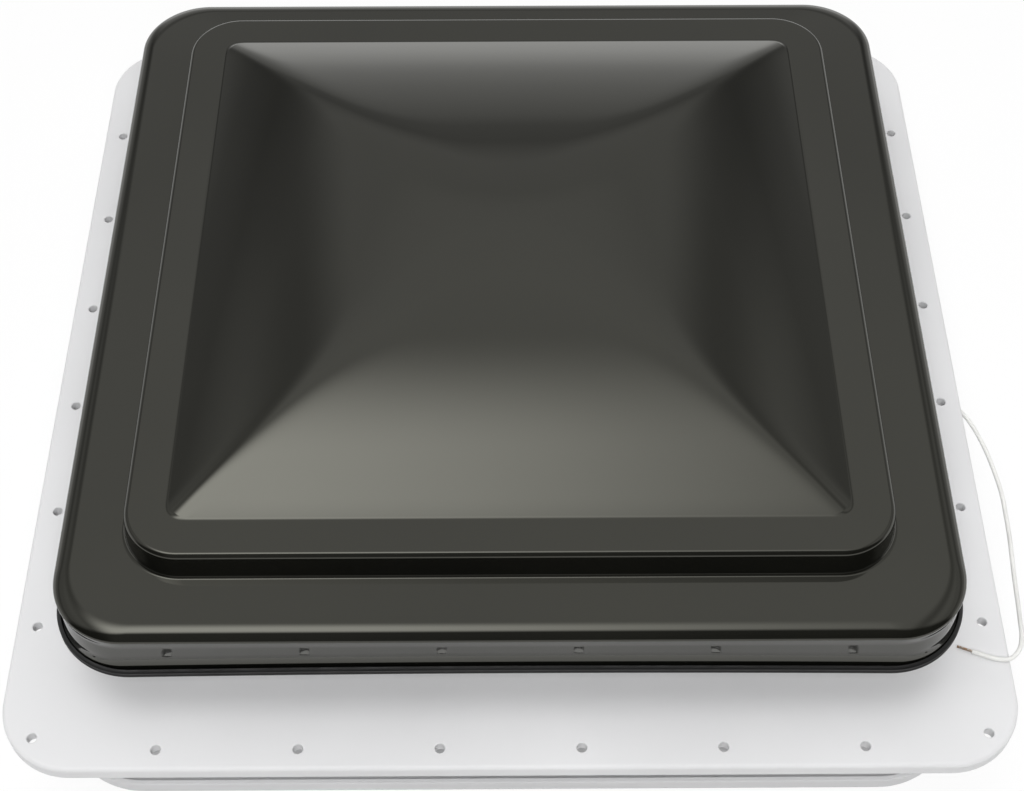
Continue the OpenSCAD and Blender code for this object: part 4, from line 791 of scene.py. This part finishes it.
# grommet moulded round the lead in the throat's wall
leadGrommet = {"at": (0.0, -14.0, -3.0), "sides": 36, "outline": [  # distance from the middle, radius
    (171.0, 1.15), (171.0, 5.0), (171.15, 5.35), (171.5, 5.5), (172.6, 5.5), (172.95, 5.3), (173.0, 3.5), (176.0, 3.5),
    (176.05, 5.3), (176.4, 5.5), (177.4, 5.5), (177.85, 5.3), (178.0, 4.9), (178.2, 3.0), (179.2, 2.5), (182.0, 1.7),
    (182.4, 1.45), (182.4, 1.15)]}


def makeLeadGrommet():
    bm = bmesh.new()
    addLathe(bm, leadGrommet["at"], leadGrommet["outline"], leadGrommet["sides"],
             Matrix.Rotation(pi / 2, 3, "Y"), loop=True)
    addPiece("leadGrommet", bm, "base", "black_rubber", ["lead_grommet"], sharp=50.0, weigh=False)


makeLeadGrommet()
print("lead grommet made")


# insect screen: woven yarn, drawn at five millimetres a gap, far coarser than the real weave
insectScreen = {"reach": 164.5, "gaps": 66, "yarn": 0.7, "yarnSides": 5, "sway": 0.24, "high": -21.5,
                "switchAt": (138.0, 0.0), "switchHalf": (8.0, 11.0), "crankAt": (-105.0, 0.0), "crankRadius": 7.0}


def yarnAt(index):
    return insectScreen["reach"] * (2 * index / insectScreen["gaps"] - 1)


# a yarn's runs between the holes for the switch and the crank
def screenRuns(along, across):
    s = insectScreen
    runs, run = [], []
    for j in range(s["gaps"] + 1):
        u = yarnAt(j)
        x, y = (u, across) if along == 0 else (across, u)
        inSwitch = all(abs(a - b) < c for a, b, c in zip((x, y), s["switchAt"], s["switchHalf"]))
        inCrank = hypot(x - s["crankAt"][0], y - s["crankAt"][1]) < s["crankRadius"]
        if inSwitch or inCrank:
            runs.append(run)
            run = []
        else:
            run.append((x, y, j))
    return [r for r in runs + [run] if len(r) > 1]


def makeInsectScreen():
    s = insectScreen
    bm = bmesh.new()
    for i in range(s["gaps"] + 1):
        for along, sign in ((0, 1), (1, -1)):
            for run in screenRuns(along, yarnAt(i)):
                path = [Vector((x, y, s["high"] + sign * s["sway"] * (-1) ** (i + j))) * mm for x, y, j in run]
                addTube(bm, path, s["yarn"] / 2 * mm, s["yarnSides"])
    addPiece("insectScreen", bm, "base", "mesh_wire", ["insect_mesh"], sharp=70.0, weigh=False)


makeInsectScreen()
print("insect screen woven")


# fan: round hub and five cambered blades that untwist towards the tip
fan = {"hubSides": 64, "middle": 18.0,
       # height, radius
       "hub": [(10.0, 1.64), (10.0, 14.2), (10.3, 14.75), (10.9, 15.0), (23.0, 15.0), (24.6, 14.5), (25.6, 13.4),
               (26.0, 11.8), (26.0, 1.64)],
       "blades": 5, "root": 12.0, "reach": 74.6, "along": 14, "across": 12,
       "chord": (30.0, 44.0), "pitch": (38.0, 21.0), "untwist": 0.7, "camber": 3.0,  # from the root to the tip
       "thick": 2.0, "thinning": 0.35, "fullness": 6, "edge": 0.02, "tipFrom": 0.82, "tipRound": 0.75}


def makeFan():
    bm = bmesh.new()
    addLathe(bm, (0, 0, 0), fan["hub"], fan["hubSides"], loop=True)
    for b in range(fan["blades"]):
        turn = Matrix.Rotation(2 * pi * b / fan["blades"], 3, "Z")
        faces = [[], []]
        for i in range(fan["along"] + 1):
            t = i / fan["along"]
            radius = fan["root"] + (fan["reach"] - fan["root"]) * t
            corner = max(0.0, (t - fan["tipFrom"]) / (1 - fan["tipFrom"]))
            narrow, wide = fan["chord"]
            chord = (narrow + (wide - narrow) * t) * sqrt(1 - fan["tipRound"] * corner ** 2)
            steep, flat = fan["pitch"]
            pitch = radians(steep + (flat - steep) * t ** fan["untwist"])
            rows = [[], []]
            for j in range(fan["across"] + 1):
                v = 2 * j / fan["across"] - 1
                arch = fan["camber"] * (1 - v * v)
                section = sqrt(max(fan["edge"], 1 - v ** fan["fullness"]))
                for side in (0, 1):
                    half = fan["thick"] / 2 * section * (1 - fan["thinning"] * t) * (1 if side else -1)
                    lie = Vector((0.0, v * chord / 2, arch + half - fan["camber"] / 2))
                    lie = Matrix.Rotation(pitch, 3, "X") @ lie
                    spread = sqrt(max(0.0, radius ** 2 - lie.y ** 2))
                    rows[side].append(bm.verts.new((turn @ Vector((spread, lie.y, fan["middle"] + lie.z))) * mm))
            for side in (0, 1):
                faces[side].append(rows[side])
        loops = [low + list(reversed(high)) for low, high in zip(*faces)]
        joinRings(bm, loops)
        bm.faces.new(loops[0])
        bm.faces.new(loops[-1])
    addPiece("fanRotor", bm, "fan", "grey_plastic", ["fan_rotor"], sharp=38.0)


makeFan()
print("fan made")


# crank knob with finger flutes
crankKnob = {"at": (-105.0, 38.0), "low": -50.0, "flutes": 9, "fluteDeep": 0.75, "sides": 144,
             # height above the foot, radius, share of the flutes
             "outline": [(3.2, 2.55, 0), (3.2, 3.9, 0), (0.5, 3.9, 0), (0.15, 4.1, 0), (0.0, 4.5, 0), (0.0, 6.4, 0),
                         (0.25, 7.2, 0.2), (0.9, 7.75, 0.7), (1.8, 8.0, 1), (9.6, 8.0, 1), (10.8, 7.75, 0.8),
                         (12.0, 7.0, 0.3), (12.75, 6.3, 0), (13.0, 5.6, 0), (13.0, 2.55, 0)]}


def makeCrankKnob():
    k = crankKnob
    bm = bmesh.new()
    rings = []
    for high, radius, share in k["outline"]:
        ring = []
        for i in range(k["sides"]):
            a = 2 * pi * i / k["sides"]
            r = radius - share * k["fluteDeep"] * (0.5 + 0.5 * cos(a * k["flutes"])) ** 2
            ring.append(bm.verts.new(Vector((k["at"][0] + r * cos(a), k["at"][1] + r * sin(a), k["low"] + high)) * mm))
        rings.append(ring)
    joinRings(bm, rings, loop=True)
    addPiece("crankKnob", bm, "knob", "black_plastic", ["crank_knob"], sharp=42.0)


makeCrankKnob()
print("crank knob made")


# the carried-over metal and plastic pieces: joined, softened along their edges and given their finish
edgeSoftness = {"gear_case": 0.7, "case_cover": 0.5, "crank_handle": 0.9, "motor_can": 0.7, "motor_end_cap": 0.6,
                "screen_frame": 0.6, "switch_body": 0.45, "switch_rocker": 0.4, "fan_strap": 0.3, "lift_arm": 0.3,
                "wire_clips": 0.3, "arm_roller": 0.4}
plainSoftness = 0.22  # screws, pins, shafts and pressed sheet
softSteps = 3
sharpAngle = 32.0


def makeShading():
    group = bpy.data.node_groups.new("evenEdges", "GeometryNodeTree")
    for way in ("INPUT", "OUTPUT"):
        group.interface.new_socket("Geometry", in_out=way, socket_type="NodeSocketGeometry")
    start = addNode(group, "NodeGroupInput").outputs["Geometry"]
    joined = addNode(group, "GeometryNodeMergeByDistance", {"Distance": 1e-6}, {"Geometry": start})
    plain = addNode(group, "GeometryNodeRemoveAttribute", {"Name": "custom_normal"},
                    {"Geometry": joined.outputs["Geometry"]})
    smooth = addNode(group, "GeometryNodeSetShadeSmooth", {"Shade Smooth": True},
                     {"Geometry": plain.outputs["Geometry"]})
    bend = addNode(group, "GeometryNodeInputMeshEdgeAngle")
    steep = addNode(group, "FunctionNodeCompare", {"operation": "GREATER_THAN", "B": radians(sharpAngle)},
                    {"A": bend.outputs["Unsigned Angle"]})
    creased = addNode(group, "GeometryNodeSetShadeSmooth", {"domain": "EDGE", "Shade Smooth": False},
                      {"Geometry": smooth.outputs["Geometry"], "Selection": steep.outputs["Result"]})
    addNode(group, "NodeGroupOutput", links={"Geometry": creased.outputs["Geometry"]})
    return group


def softenRest():
    shading = makeShading()
    for name, piece in nodes.items():
        for i in range(len(piece.material_slots)):
            piece.material_slots[i].material = finish[slotOf[name]]
        piece.modifiers.new("evenEdges", "NODES").node_group = shading
        soft = piece.modifiers.new("softEdges", "BEVEL")
        soft.width = edgeSoftness.get(name, plainSoftness) * mm
        soft.segments = softSteps
        soft.limit_method = "ANGLE"
        soft.angle_limit = radians(sharpAngle)
        soft.harden_normals = True


softenRest()
print("other pieces softened")
